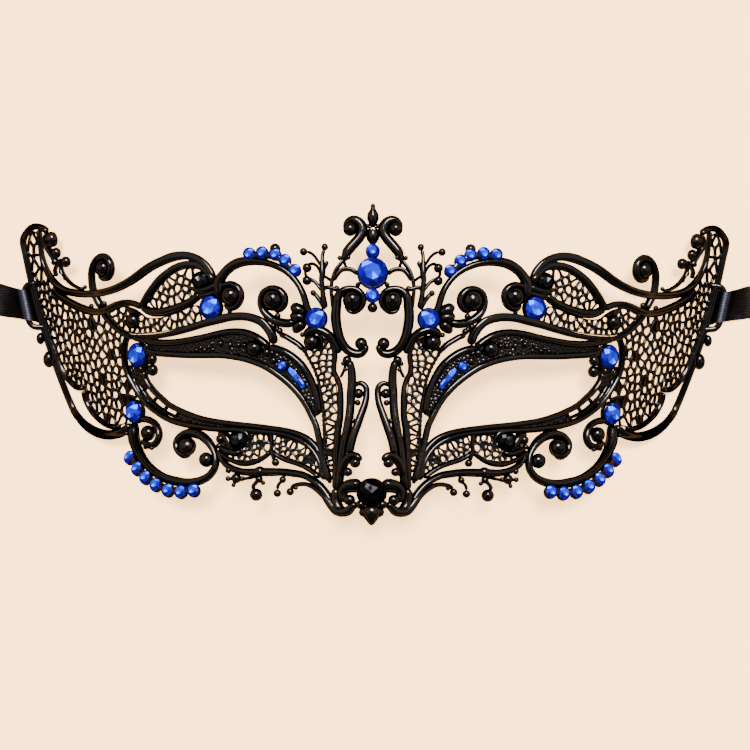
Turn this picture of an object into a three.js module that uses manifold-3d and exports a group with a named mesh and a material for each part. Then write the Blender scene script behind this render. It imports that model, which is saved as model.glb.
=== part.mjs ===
// Masquerade mask: an eye mask of black lacquered filigree with crackle nets, blue stones and two ribbons.
// It lies on its two side rims, face up. X runs across the face, +Y to the brow and +Z out of the face.
import * as THREE from "three";
import { mergeVertices } from "three/addons/utils/BufferGeometryUtils.js";
import Module from "manifold-3d";

const wasm = await Module();
wasm.setup();

// Driving dimensions, in millimetres
const RIM_DEPTH = 52; // from the bridge of the nose back to the side rims
const RIM_HALF_WIDTH = 79.5; // half the width at the height of the eyes
const RIM_FLARE = 0.36; // how fast the sides spread towards the brow
const RIM_CURL = 0.003; // how the spread tapers off again
const CHEEK_FLATTENING = 0.106; // the part under the eyes bends less
const CHEEK_TOP = -10; // height where that begins
const NOSE_RISE = 6; // the nose stands forward of the brow
const NOSE_SPREAD = 11; // and falls off over this distance to each side
const NOSE_START = 2; // how far below the eye line the rise starts
const NOSE_END = 28; // and where it is full
const CROWN_LEAN = 5; // the crown leans back with the forehead
const CROWN_SPREAD = 30; // less so over this distance to each side
const CROWN_START = 14; // height where the lean starts
const CROWN_END = 40; // and where it is full
const PATTERN_DISTANCE = 700; // the pattern is drawn as it looks from this far in front
const PATTERN_MIDDLE = -2.5; // height of the eye point in the pattern
const PATTERN_DROP = 0.365; // brings the middle of the whole mask to Y = 0
const REST_HEIGHT = 0.6; // from the floor up to the middle surface of the rims
const BELOW_FLOOR = [300, 200, 20]; // a block that cuts the rims level where they stand
const SAG = 0.75; // how far a straight facet may leave a curve
const BEND_SAG = 0.5; // how far a facet may leave the bent surface
const SAMPLES = 4; // places looked at between two points of a curve
const TURN_STEP = 45; // degrees between the points of a scroll's turn
const BACK = 0.6; // metal behind the middle surface
const RIDGE_LEAST = 0.35; // a bar's ridge rises this much, and more the wider the bar
const RIDGE_RATIO = 0.45;
const NET_TOP = 0.15;
const SMALL_BALL = 1.5; // radius up to which a ball end is a plain spike
const BALL_FOOT = 1.05; // a ball end at its back, its flat top and its height, all in radii
const BALL_TABLE = 0.7;
const BALL_HEIGHT = 0.8;
const SEAT_MARGIN = 0.4; // the seat's rim round a stone
const SEAT_TOP = 0.4;
const ROW_BAR_WIDTH = 1.7; // the bar under a row of stones, in radii of the stones
const STONE_GAP = 0.3;
const LARGE_STONE = 2.5; // radius above which a stone has eight sides
const STONE_TABLE = 0.58; // a stone's flat top, in radii
const STONE_LEAST = 0.3; // a stone's height, and more the wider the stone
const STONE_RATIO = 0.42;
const BAR_STONE_WIDTH = 1.4;
const BAR_STONE_HEIGHT = 0.9;
const RIM_BEADS = [[6.5, 1.3, 1.4], [1.3, 1.6, 1.4]]; // height, radius and distance out of the rim
const BEAD_HEIGHT = 1; // over the floor
const RING_X = 94.3; // from the middle line to the outer bar of a ribbon ring
const RING_LOW = 9.2; // its ends in Y
const RING_HIGH = 22;
const RING_HEIGHT = 1.4; // over the floor
const RING_BAR = 1.2;
const RING_CORNER = 1.7;
const SLOT_CORNER = 0.6;
const RING_FEET = [5, 2.7]; // from RING_X back to where the ring's low and high ends meet the rim
const SLOT_FEET = [3.6, 2]; // and its slot's
const RIBBON_WIDTH = 8.6;
const RIBBON_THICKNESS = 0.45;
const RIBBON_LIFT = 0.05; // over the floor
const FOLD_GAP = 0.35; // between the ribbon and the bar it goes round
const FOLD_LENGTH = 8; // how far out the fold lies over the ribbon
const ROLL_RADIUS = 11;
const ROLL_DISTANCE = 121; // from the middle of the mask to the middle of a rolled ribbon
const ROLL_END = 1.36 * Math.PI; // angle where the roll's outline meets the flat run

const LACQUER = { color: 0x0b0b0d, roughness: 0.28, metalness: 0.6 };
const BLUE_STONE = { color: 0x12309a, roughness: 0.06, metalness: 0.1 };
const BLACK_STONE = { color: 0x060608, roughness: 0.08, metalness: 0.1 };
const SATIN = { color: 0x111114, roughness: 0.45, metalness: 0 };

const smooth = (edge0, edge1, x) => THREE.MathUtils.smoothstep(x, edge0, edge1);

// Half the width of the mask at a height, and the radius that bends it back to RIM_DEPTH there
const halfWidth = (v) => RIM_HALF_WIDTH + RIM_FLARE * v - RIM_CURL * v * v;
const rimBend = (v) => (halfWidth(v) ** 2 + RIM_DEPTH ** 2) / (2 * RIM_DEPTH);
const bendRadius = (v) => rimBend(v) + CHEEK_FLATTENING * Math.max(0, CHEEK_TOP - v) ** 2;

// A point of the pattern on the flat sheet from which the mask is bent
function onSheet(u, v) {
  const radius = bendRadius(v);
  return new THREE.Vector3(radius * Math.asin(THREE.MathUtils.clamp(u / radius, -1, 1)), v, 0);
}

// Where a point of the flat sheet lies on the bent mask, on its middle surface
function bentMiddle(across, v) {
  const radius = bendRadius(v);
  const u = radius * Math.sin(across / radius);
  const nose = NOSE_RISE * Math.exp(-((u / NOSE_SPREAD) ** 2)) * smooth(NOSE_START, NOSE_END, -v);
  const crown = CROWN_LEAN * Math.exp(-((u / CROWN_SPREAD) ** 2)) * smooth(CROWN_START, CROWN_END, v);
  const depth = radius * (1 - Math.cos(across / radius)) - nose + crown;
  const spread = 1 + depth / PATTERN_DISTANCE;
  const y = PATTERN_MIDDLE + (v - PATTERN_MIDDLE) * spread - PATTERN_DROP;
  return new THREE.Vector3(u * spread, y, RIM_DEPTH - depth + REST_HEIGHT);
}

// Bends a point of the sheet, with its height over the sheet in z
function bent({ x, y, z }) {
  const step = 0.05;
  const across = bentMiddle(x + step, y).sub(bentMiddle(x - step, y));
  const along = bentMiddle(x, y + step).sub(bentMiddle(x, y - step));
  return bentMiddle(x, y).addScaledVector(across.cross(along).normalize(), z);
}

// A closed geometry as a solid
function solid(geometry) {
  geometry.deleteAttribute("normal");
  geometry.deleteAttribute("uv");
  const merged = mergeVertices(geometry, 1e-4);
  const vertProperties = merged.attributes.position.array;
  const triVerts = new Uint32Array(merged.index.array);
  const made = new wasm.Manifold(new wasm.Mesh({ numProp: 3, vertProperties, triVerts }));
  if (made.volume() > 0) return made;
  for (let i = 0; i < triVerts.length; i += 3) triVerts.subarray(i, i + 2).reverse();
  return new wasm.Manifold(new wasm.Mesh({ numProp: 3, vertProperties, triVerts }));
}

// Moves each vertex of a geometry
function reshape(geometry, place) {
  const position = geometry.attributes.position;
  const vertex = new THREE.Vector3();
  for (let i = 0; i < position.count; i += 1) {
    vertex.fromBufferAttribute(position, i);
    const moved = place(vertex);
    position.setXYZ(i, moved.x, moved.y, moved.z);
  }
  return geometry;
}

// Corner points and faces of a joined solid, as a geometry
function geometryOf(points, faces) {
  const geometry = new THREE.BufferGeometry().setFromPoints(points);
  geometry.setIndex(faces);
  const faceted = geometry.toNonIndexed();
  faceted.computeVertexNormals();
  return faceted;
}

function pointsAndFaces(manifold) {
  const { vertProperties, triVerts, numVert } = manifold.getMesh();
  const vertex = (_, i) => new THREE.Vector3().fromArray(vertProperties, 3 * i);
  return [Array.from({ length: numVert }, vertex), Array.from(triVerts)];
}

// Halves each edge of a flat-sheet solid whose middle would leave the bent mask by over BEND_SAG
function splitForBending([points, faces]) {
  const middles = new Map();
  const middleOf = (a, b) => {
    const key = Math.min(a, b) + "_" + Math.max(a, b);
    if (middles.has(key)) return middles.get(key);
    const middle = points[a].clone().lerp(points[b], 0.5);
    const chord = bent(points[a]).lerp(bent(points[b]), 0.5);
    const needed = chord.distanceTo(bent(middle)) > BEND_SAG;
    middles.set(key, needed ? points.push(middle) - 1 : -1);
    return middles.get(key);
  };
  const split = [];
  for (let i = 0; i < faces.length; i += 3) {
    let corners = faces.slice(i, i + 3);
    let cut = corners.map((corner, k) => middleOf(corner, corners[(k + 1) % 3]));
    const count = cut.filter((middle) => middle >= 0).length;
    const first = count === 2 ? cut.indexOf(-1) + 1 : cut.findIndex((middle) => middle >= 0);
    const turned = (list) => [0, 1, 2].map((k) => list[(k + Math.max(first, 0)) % 3]);
    corners = turned(corners);
    cut = turned(cut);
    const [a, b, c] = corners;
    const [ab, bc, ca] = cut;
    if (count === 0) split.push(a, b, c);
    if (count === 1) split.push(a, ab, c, ab, b, c);
    if (count === 2) split.push(ab, b, bc, a, ab, c, ab, bc, c);
    if (count === 3) split.push(a, ab, ca, ab, b, bc, ca, bc, c, ab, bc, ca);
  }
  return split.length > faces.length ? splitForBending([points, split]) : [points, split];
}

const spline = (points) =>
  new THREE.CatmullRomCurve3(points.map(([u, v]) => onSheet(u, v)), false, "centripetal");

// The points of a turning scroll: a spiral round a middle point, with angles in degrees
function turn(u, v, from, to, radius, endRadius = radius) {
  const steps = Math.ceil(Math.abs(to - from) / TURN_STEP);
  return Array.from({ length: steps + 1 }, (_, i) => {
    const t = i / steps;
    const angle = THREE.MathUtils.degToRad(from + (to - from) * t);
    const r = radius + (endRadius - radius) * t;
    return [u + r * Math.cos(angle), v + r * Math.sin(angle)];
  });
}

// The places along a curve where its facets meet, so that none leaves the curve by over SAG
function stations(curve) {
  const fine = SAMPLES * (curve.points.length - 1);
  const line = Array.from({ length: fine + 1 }, (_, i) => curve.getPoint(i / fine));
  const kept = [0];
  const split = (first, last) => {
    const chord = new THREE.Line3(line[first], line[last]);
    const nearest = new THREE.Vector3();
    const gapTo = (point) => chord.closestPointToPoint(point, true, nearest).distanceTo(point);
    const gaps = line.slice(first, last + 1).map(gapTo);
    const worst = Math.max(...gaps);
    if (worst > SAG) {
      split(first, first + gaps.indexOf(worst));
      split(first + gaps.indexOf(worst), last);
    } else {
      kept.push(last);
    }
  };
  split(0, fine);
  return kept.map((i) => i / fine);
}

// The value of a short list at a fraction of its length
function along(values, t) {
  const place = t * (values.length - 1);
  const i = Math.min(Math.floor(place), values.length - 2);
  return values.length === 1 ? values[0] : THREE.MathUtils.lerp(values[i], values[i + 1], place - i);
}

// A tapering bar on the sheet: a rod of three or four sides with a flat back and its ridge in front
function barSolid({ widths, points, top = 0, back = -BACK }, side) {
  const curve = spline(points);
  const places = stations(curve);
  const [sides, turned] = top ? [4, Math.PI / 4] : [3, 0];
  const rod = new THREE.CylinderGeometry(1, 1, 1, sides, places.length - 1, false, turned);
  return solid(
    reshape(rod, (corner) => {
      const t = places[Math.round((corner.y + 0.5) * (places.length - 1))];
      const heading = curve.getTangent(t);
      const width = along(widths, t);
      const ridge = top || RIDGE_LEAST + RIDGE_RATIO * width;
      const across = Math.abs(corner.x) > 0.1 ? (Math.sign(corner.x) * width) / 2 : 0;
      const onAxis = Math.abs(corner.x) + Math.abs(corner.z) < 0.01;
      const place = curve.getPoint(t);
      place.x += heading.y * across;
      place.y -= heading.x * across;
      place.z = onAxis ? (back + ridge) / 2 : corner.z > 0.1 ? ridge : back;
      return place.setX(side * place.x);
    }),
  );
}

// A ball end with a flat back: a blunt dome, or a short spike where it is small
function ballSolid({ u, v, radius }, side) {
  const large = radius > SMALL_BALL;
  const top = BALL_HEIGHT * radius;
  const foot = [BALL_FOOT * radius, -BACK];
  const dome = [[0, -BACK], foot, [BALL_TABLE * radius, top], [0, top]];
  const spike = [[0, -BACK], foot, [0, radius]];
  const profile = (large ? dome : spike).map(([r, z]) => new THREE.Vector2(r, z));
  const turned = new THREE.LatheGeometry(profile, large ? 6 : 4);
  const place = onSheet(side * u, v);
  return solid(turned.rotateX(Math.PI / 2).translate(place.x, place.y, 0));
}

// A net: on the sheet, a thin plate between two curves
function panelSolid({ from, to, rows }, side) {
  const [first, last] = [spline(from), spline(to)];
  return solid(
    reshape(new THREE.BoxGeometry(1, 1, 1, 1, rows, 1), (corner) => {
      const place = first.getPoint(corner.y + 0.5).lerp(last.getPoint(corner.y + 0.5), corner.x + 0.5);
      place.z = corner.z > 0 ? NET_TOP : -BACK;
      return place.setX(side * place.x);
    }),
  );
}

const stoneSides = (radius) => (radius > LARGE_STONE ? 8 : 6);

function seatSolid({ u, v, radius }, side) {
  const wide = radius + SEAT_MARGIN;
  const disc = new THREE.CylinderGeometry(wide, wide, BACK + SEAT_TOP, stoneSides(radius));
  const place = onSheet(side * u, v);
  return solid(disc.rotateX(Math.PI / 2).translate(place.x, place.y, (SEAT_TOP - BACK) / 2));
}

// A cut stone: a crown that slopes up to a flat table
function stoneGeometry({ u, v, radius }, side) {
  const height = STONE_LEAST + STONE_RATIO * radius;
  const cone = new THREE.CylinderGeometry(STONE_TABLE * radius, radius, height, stoneSides(radius));
  const place = onSheet(side * u, v);
  const low = SEAT_TOP + STONE_GAP;
  cone.rotateX(Math.PI / 2).translate(place.x, place.y, low + height / 2);
  return reshape(cone, bent);
}

// The half pattern: u is the distance from the middle line and v the height
const bars = [];
const balls = [];
const panels = [];
const stones = [];
const middleBars = [];
const middleBalls = [];
const middleStones = [];
const bar = (widths, points, extra = {}) => bars.push({ widths, points, ...extra });
const ball = (u, v, radius) => balls.push({ u, v, radius });
const panel = (rows, from, to) => panels.push({ rows, from, to });

// A stone on a seat of its own, or on none where a bar carries it
function stone(name, u, v, radius, { finish = BLUE_STONE, seat = true } = {}) {
  stones.push({ name, u, v, radius, finish, seat });
}

// A row of small stones on one bar with a flat top
function stoneRow(name, radius, places) {
  bar([ROW_BAR_WIDTH * radius], places, { top: SEAT_TOP });
  places.forEach(([u, v], i) => stone(name + "_" + (i + 1), u, v, radius, { seat: false }));
}

function wing() {
  bar(
    [1.5, 1.5, 1.5, 1.5, 1.6, 2],
    [
      [81.6, 33.2], [85.2, 34.5], ...[31, 24, 16, 8, 0, -8].map((v) => [halfWidth(v), v]),
      [73.2, -13.3], [68.1, -16.9], [64.4, -16.9], [61.2, -14.5],
    ],
  );
  bar([1.1], [[84.9, 21], [83, 13.5], [80.9, 6.5], [77.9, -1.2], [75.2, -5], [72.5, -5.9]]);
  bar([1.1], [[72.4, -6.3], [71.5, -10.2], [68.9, -13.8], [65.3, -15.6], [63.6, -15.6]]);
  bar(
    [1.2, 1.3, 1.5, 1.7, 1.9, 2.2, 2.1, 1.6],
    [
      [83.4, 33.7], [83, 27], [80.9, 22], [77.2, 18.6], [71.2, 17.7], [65.1, 18.8], [60, 21.4],
      [55.9, 24.3], [49.7, 27], [44.2, 26.9], [40.5, 23.8], [39.5, 21.5],
    ],
  );
  bar(
    [1.4, 1.7, 1.5],
    [[80, 19.6], [76.3, 15.8], [72.2, 13.9], [68.1, 13.3], [64, 15], [60.3, 15.4], [57.7, 14.3]],
  );
  bar([1.7, 1.5, 1], [[67.9, 14.2], [70, 18.5], ...turn(67.9, 24.1, -15, 290, 2.5, 1.7)]);
  ball(67.4, 23.8, 1.6);
  bar([0.8], [[83.2, 30.4], [80.5, 31.3]]);
  ball(80.5, 31.3, 1.5);
  ball(79.4, 27.9, 1.15);
  bar([0.8], [[82.8, 28.4], [79.4, 27.9], [77, 25.7], [77.4, 22.8], [75.2, 18.6]]);
  ball(77, 25.7, 1.15);
  panel(
    7,
    [
      [65, -15.5], [70, -12], [73.3, -6], [77.9, -1.2], [80.9, 6.5], [83.4, 14], [85.7, 21], [87.5, 27],
      [86.6, 33.4],
    ],
    [
      [62, -14.5], [61.5, -10], [60, -7], [61.8, -2], [62.3, 4], [63.6, 8.6], [68.1, 13.1], [74.4, 14.6],
      [80.5, 20.6], [83, 28], [83.4, 33.4],
    ],
  );
}

// The flat ring that the ribbon passes through, beside the rim on the floor's level
function ribbonRing(side) {
  const [outer, inner] = [RING_X + RING_BAR / 2, RING_X - RING_BAR / 2];
  const [low, high] = [RING_LOW + RING_BAR, RING_HIGH - RING_BAR];
  const outline = new THREE.Shape();
  outline.moveTo(RING_X - RING_FEET[0], RING_LOW);
  outline.lineTo(outer - RING_CORNER, RING_LOW);
  outline.quadraticCurveTo(outer, RING_LOW, outer, RING_LOW + RING_CORNER);
  outline.lineTo(outer, RING_HIGH - RING_CORNER);
  outline.quadraticCurveTo(outer, RING_HIGH, outer - RING_CORNER, RING_HIGH);
  outline.lineTo(RING_X - RING_FEET[1], RING_HIGH);
  const slot = new THREE.Path();
  slot.moveTo(RING_X - SLOT_FEET[0], low);
  slot.lineTo(inner - SLOT_CORNER, low);
  slot.lineTo(inner, low + SLOT_CORNER);
  slot.lineTo(inner, high - SLOT_CORNER);
  slot.lineTo(inner - SLOT_CORNER, high);
  slot.lineTo(RING_X - SLOT_FEET[1], high);
  outline.holes.push(slot);
  const flat = { depth: RING_BAR, bevelEnabled: false, curveSegments: 3 };
  const ring = new THREE.ExtrudeGeometry(outline, flat).translate(0, 0, RING_HEIGHT - RING_BAR / 2);
  if (side < 0) ring.rotateY(Math.PI).translate(0, 0, 2 * RING_HEIGHT);
  return solid(ring);
}

// A bead on the outside of the rim
function rimBead([v, radius, out], side) {
  const rim = bentMiddle(side * onSheet(halfWidth(v), v).x, v);
  const bead = new THREE.IcosahedronGeometry(radius);
  return solid(bead.translate(rim.x + side * out, rim.y, BEAD_HEIGHT));
}

function upperLeaf() {
  bar([1.6], [[57.1, 15.2], [54.8, 19.4], [51, 23.1], [46.1, 25.2], [41.6, 23.9], [40.4, 22.2]]);
  bar([2, 2, 1.6], [[59.6, 12.3], [57.8, 12.6], [49.7, 13.6], [45.6, 15.5], [42.6, 18.6]]);
  ball(60, 11, 1.8);
  stone("leaf_jet", 42.8, 21, 2.2, { finish: BLACK_STONE });
  panel(
    6,
    [[66.3, 12.8], [61.5, 14.8], [57.2, 15], [54.6, 19.4], [50.7, 23], [46, 25], [41.6, 23.6]],
    [[65.7, 11.2], [60, 7.2], [55.9, 7.3], [51.8, 7.8], [47.7, 8.8], [44.6, 9.9], [41.8, 11]],
  );
}

function brow() {
  bar(
    [1.1, 1.2, 1.4, 1.9, 2, 2, 1.9, 1.8],
    [
      [67.6, 12.8], [64, 8.9], [60, 6.9], [53.9, 7.2], [45.6, 9.1], [39.6, 11.05], [33.5, 12.2],
      [27.3, 10.9], [24.5, 7.3], [24, 5.3],
    ],
  );
  bar([1.5], [[57, 5.9], [53.9, 5.6], [47.7, 5.8], [41.6, 7], [34.5, 8.4], [29.4, 7.5], [25.3, 4.5]]);
  bar(
    [1.3],
    [
      [56, 3.2], [49.7, 2.6], [41.6, 2.4], [34.5, 2.1], [29.4, 0.9], [23.3, -2.3], [17.8, -7.6],
      [14.9, -12.5], [13.2, -17.5], [12.9, -19.5],
    ],
  );
  panel(
    7,
    [[57, 5.9], [53.9, 5.6], [47.7, 5.8], [41.6, 7], [34.5, 8.4], [29.4, 7.5], [25.3, 4.5]],
    [[56, 3.2], [50.5, 2.7], [45, 2.5], [39, 2.3], [33, 1.7], [28.4, 0.5], [24.6, -1.4]],
  );
  ball(29, 4.2, 1.9);
  bar([1.6, 1.6, 1.4], [[25.3, 4.6], [21.3, 3.3], [17.5, 0.3], [14.9, -4], [13.3, -9], [13, -12]]);
  panel(
    6,
    [[25.3, 4.5], [21.3, 3.3], [17.5, 0.3], [14.9, -4], [13.3, -9], [13, -12]],
    [[24.6, -1.4], [21.6, -3.6], [19.4, -5.8], [17.2, -8.6], [15.2, -11.8], [14.6, -13.2]],
  );
  stone("slant_round", 22.5, -0.1, 1.25);
}

// Rim of the eye hole, with a channel between its inner and outer bars
function eye() {
  const inner = [
    [57.2, -1.5], [56.8, -3.5], [53.1, -8.2], [47.7, -11.5], [41.6, -13.6], [33.5, -14.8], [25.3, -15.7],
  ];
  const outer = [
    [61.9, 0], [60, -5], [56.4, -10], [51.3, -13.5], [43.6, -15.4], [35.5, -16.1], [27.4, -16.5],
  ];
  bar([1.25], [...inner, [18.2, -17.1], [14.3, -19.6], [12.6, -22.5], [11.9, -25]]);
  bar([1.4], [[62, 6.5], ...outer, [21.3, -17.4], [16.3, -19.5], [14, -21.2]]);
  panel(6, inner, outer);
  bar([1.5], [[56.4, 3.6], [57.1, -2]], { top: SEAT_TOP });
  stone("temple", 58.5, 2.4, 2.9);
  stone("cheek", 59.2, -11.75, 2.8);
}

function lowerLoop() {
  bar(
    [2.3, 2.5, 2.2, 1.9, 2, 1.8, 1.6, 1.6, 1.9, 2, 1.7, 1.2, 1],
    [
      [60, -15], [60.1, -18.5], [58.4, -22.8], [54.3, -27], [48.7, -29.1], [42.6, -28.9], [38.9, -25.5],
      [39.4, -21], [42.6, -17.6], [47.2, -17.6], ...turn(46, -20.6, 20, -80, 2.5, 2),
    ],
  );
  ball(45.9, -20.6, 1.75);
  ball(40.9, -23.7, 1.75);
  bar([1.2], [[58, -14.3], ...turn(56, -17.3, 80, -190, 2.9, 1.9)]);
  ball(56.5, -17.3, 1.5);
  stoneRow("loop", 1.6, [
    [60.5, -23.4], [58.6, -26.2], [56.5, -28.4], [53.9, -30.2], [50.9, -31.5], [47.7, -31.9], [44.5, -31.5],
  ]);
}

function lowerLeaves() {
  bar(
    [1.2, 1.5, 1.8, 1.6, 1.4],
    [
      [38.6, -21.5], [36.1, -25], [31.4, -26.7], [25.3, -26.7], [19.3, -27], [15.2, -28.2], [11.8, -30.8],
      [9.6, -34.3],
    ],
  );
  bar([1.1], [[38.6, -21.5], [35.4, -23.5], [32.4, -24.6], [28.4, -24], [24.9, -21.4]]);
  bar([1.2], [[24.7, -21.3], [21.3, -23.6], [16.7, -25.2], [12.7, -28]]);
  bar([1], [[25, -16.5], [24.8, -21.3]]);
  stone("under_eye_jet", 33.5, -18.8, 2.2, { finish: BLACK_STONE });
  ball(27.6, -26.6, 1.3);
  bar([0.7], [[36.4, -28.4], [33.4, -28.4], [29.4, -28], [27.9, -27]]);
  ball(33.4, -28.4, 1.2);
  bar([0.8], [[27.6, -27], [28.8, -29.6], [28.6, -32]]);
  ball(28.4, -32.4, 1.45);
  bar([0.8], [[21.5, -27.2], [22.9, -29.8], [23.1, -32]]);
  ball(23.1, -32.2, 0.85);
  bar(
    [0.9, 1, 1.2, 1.5, 1.7, 1.4],
    [
      [19.9, -31.4], [17.7, -29.7], [14.7, -30.2], [11.7, -32.4], [9.3, -35.2], [6.7, -36.6], [4.3, -35.5],
      [2.6, -34.3],
    ],
  );
  ball(19.9, -31.6, 0.8);
  panel(
    4,
    [[37.2, -17], [34.9, -16.4], [31.4, -16.4], [27.4, -16.8], [24.6, -17.2]],
    [[37.4, -21.8], [34.9, -23.7], [31.4, -24.4], [27.8, -23.6], [24.6, -21]],
  );
  panel(
    5,
    [[24.6, -17.2], [20.3, -17.9], [17.3, -19.3], [15, -20.9], [13.4, -23.2], [12.2, -26.8]],
    [[24.6, -21], [22.3, -22.9], [19.3, -24.1], [16.3, -25.2], [14.2, -26.6], [12.5, -27.6]],
  );
}

// The arc over the brow with its row of stones and the two scrolls inside it
function gemArc() {
  bar(
    [2.6, 2.2, 2.2, 1.8, 1.5, 1.4, 1.5],
    [[38.1, 20], [36.4, 23.6], [32.9, 25.7], [28.3, 26], [24, 25], [20.1, 22.6], [17.6, 19], [16.2, 14.5]],
  );
  stoneRow("arc", 1.55, [[30.8, 27.8], [27.6, 28.1], [24.4, 27.7], [21.9, 26.2], [19.4, 23.7]]);
  bar([1.1], [[38.4, 19.4], ...turn(34.9, 17.3, 60, 330, 3.2, 1.9)]);
  ball(34.9, 17.4, 1.9);
  bar([1.2, 0.9], [[38.6, 18.8], [37.2, 16.4], [35.6, 13.6], [35.2, 12.4]]);
  bar(
    [1.8, 2, 1.8, 1.5, 1.2],
    [[18.8, 11.2], [20.8, 10.5], [23.3, 10.9], ...turn(24.3, 16.3, -60, 290, 4, 2.1)],
  );
  ball(24.3, 16.3, 2);
  bar([1.3], [[25.6, 12.6], [26.6, 11]]);
  ball(18.3, 9.9, 0.85);
  stone("brow", 40.3, 14.4, 2.85);
  stone("bridge", 14, 11.65, 2.6);
}

function sprig() {
  bar([1.3, 1.2, 1.4, 0.9, 0.8], [[11.6, 13.6], [12.5, 19.5], [12.4, 24.5], [12.4, 27.5], [12, 29.2]]);
  ball(11.8, 29.5, 0.8);
  bar([0.65], [[12.6, 24.7], [14.2, 27.2], [17.1, 28.4]]);
  ball(17.1, 28.4, 0.85);
  bar([0.65], [[12.6, 22], [14, 25.1], [16.2, 24.5], [16.5, 22.5], [16.2, 21.3]]);
  ball(16.2, 24.5, 1);
  ball(16.2, 21.3, 1);
  bar([0.8], [[16.2, 21.3], [14.2, 20.9], [12.6, 18.4]]);
  bar([1], [[12.4, 19], [8.8, 19]]);
  bar([0.8], [[7.3, 26.4], [9, 24.2], [10.2, 21], [10.2, 17], [9.4, 12.4]]);
  bar([1], [[9.8, 21.3], [7.7, 23.9], [4.9, 23.9], [3.4, 22.9]]);
}

function middleStone(name, v, radius, finish = BLUE_STONE) {
  middleStones.push({ name, u: 0, v, radius, finish });
}

// A bar up the middle line between two heights
function middleBar(widths, heights, top) {
  middleBars.push({ widths, points: heights.map((v) => [0, v]), top });
}

function crown() {
  bar(
    [1.2, 1.8, 2.3, 2.3, 2.2, 2.1, 1.8, 1.2],
    [[6.8, 34.3], [6.4, 35.6], [4, 36.2], [2.6, 34.5], [3.1, 32.2], [4.8, 30.2], [6.6, 27.4], [7.5, 26]],
  );
  ball(5.6, 34.1, 1.6);
  middleBar([2, 3.3, 1.4, 0.9], [35, 37.3, 38.9, 40.2]);
  middleBar([2.2, 3.8, 3.2, 0.8], [35.2, 32.6, 31.6, 29.8], SEAT_TOP);
  middleStone("crown_jet", 33.5, 1.2, BLACK_STONE);
  middleStone("crown_top", 28.5, 1.7);
  middleStone("crown_middle", 23, 3.65);
  middleStone("crown_lower", 17.45, 1.75);
  middleBalls.push({ u: 0, v: 14.5, radius: 1.2 });
}

// Lyre-shaped scroll on each side of the bridge, and the coil under the bridge stone
function bridge() {
  bar(
    [0.8, 1.1, 1.3, 1.5, 1.9, 2.1, 2.2, 2.1, 2, 1.6, 1.3],
    [
      [6.7, 15], [4.2, 13.4], [2.1, 16.5], [4.9, 19.2], [8.5, 17.3], [8.8, 12.5], [8.2, 7.8], [5.85, 3.9],
      [2.4, 3.1], [1.2, 5.4],
    ],
  );
  ball(5, 16.3, 2.3);
  ball(2.3, 5.5, 1.4);
  bar([1.4], [[16.4, 7], [15.4, 8.5], [13.5, 9], [10.3, 7.5], [8.4, 4.5], [6.4, 3.4]]);
  ball(14.7, 5.9, 1.9);
}

function nose() {
  bar([0.9, 1], [
    [22.8, 8], [19.8, 6.3], [16.8, 3.6], [14.4, -0.3], [13.1, -4.3], [12.2, -9], [11.7, -15], [11.3, -21],
    [10.6, -27], [10, -29.5],
  ]);
  bar(
    [1.1, 1.3, 1.5],
    [
      [11.1, 7.4], [9.3, 4], [9.3, 0], [8.3, -3.5], [7.6, -8], [7.7, -13], [8.3, -19], [8.5, -25],
      [8.6, -31],
    ],
  );
  panel(
    6,
    [[16.8, 3.6], [14.4, -0.3], [13.1, -4.3], [12.2, -9], [11.7, -15], [11.3, -21], [10.6, -27]],
    [[11.1, 7.2], [9.4, 3], [9, -1.5], [8, -6], [7.8, -14], [8.4, -21], [8.5, -27]],
  );
  bar(
    [1.6, 1.8, 1.9, 1.8, 1.6, 1.5],
    [[5.6, 1.5], [5, -0.5], [4.85, -4.5], [5.15, -9.5], [5.75, -14.5], [6.75, -19.5], [7.45, -25], [8, -31]],
  );
  ball(6.05, 1.2, 1.05);
  bar(
    [1, 1.2, 1.4, 1.6, 1.7, 1.6, 1.4],
    [[4.35, -5.3], [2.45, -4.4], [1.15, -7], [1.45, -9.2], [3.15, -14], [4.65, -18.3], [5.9, -22.3]],
  );
  ball(3.15, -7, 1.1);
  bar([1.4, 1.3, 1], [[7.8, -28], [6.75, -24.5], ...turn(4, -24.2, 60, 190, 1.7, 1.2)]);
  ball(3.9, -24.3, 1.2);
  ball(5.9, -26.6, 1);
}

function pendant() {
  bar(
    [1.5, 1.9, 2, 1.6],
    [[2.8, -29.5], [4.4, -29.6], [6.1, -30.2], [6.8, -31.5], [6.4, -32.8], [5.3, -33.6]],
  );
  ball(5.2, -33.8, 1.2);
  bar([1.7], [[8.6, -30.6], [8.7, -33], [8.2, -35], [6.9, -36.6]]);
  ball(1.9, -37.4, 0.9);
  middleBar([2.4, 4, 2.2, 0.5], [-35, -38, -39.2, -40.1], SEAT_TOP);
  middleStone("pendant_jet", -31.7, 3.4, BLACK_STONE);
  middleStone("drop_jet", -36.6, 1.5, BLACK_STONE);
}

[wing, upperLeaf, brow, eye, lowerLoop, lowerLeaves, gemArc, sprig, crown, bridge, nose, pendant].forEach(
  (motif) => motif(),
);

// The bar-shaped stone beside the nose
const BAR_STONE = [[20.6, -0.8], [16.9, -5.5]];

function barStoneGeometry(side) {
  const back = SEAT_TOP + STONE_GAP;
  const [points, faces] = pointsAndFaces(
    barSolid({ widths: [BAR_STONE_WIDTH], points: BAR_STONE, back, top: back + BAR_STONE_HEIGHT }, side),
  );
  return geometryOf(points.map(bent), faces);
}

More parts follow.
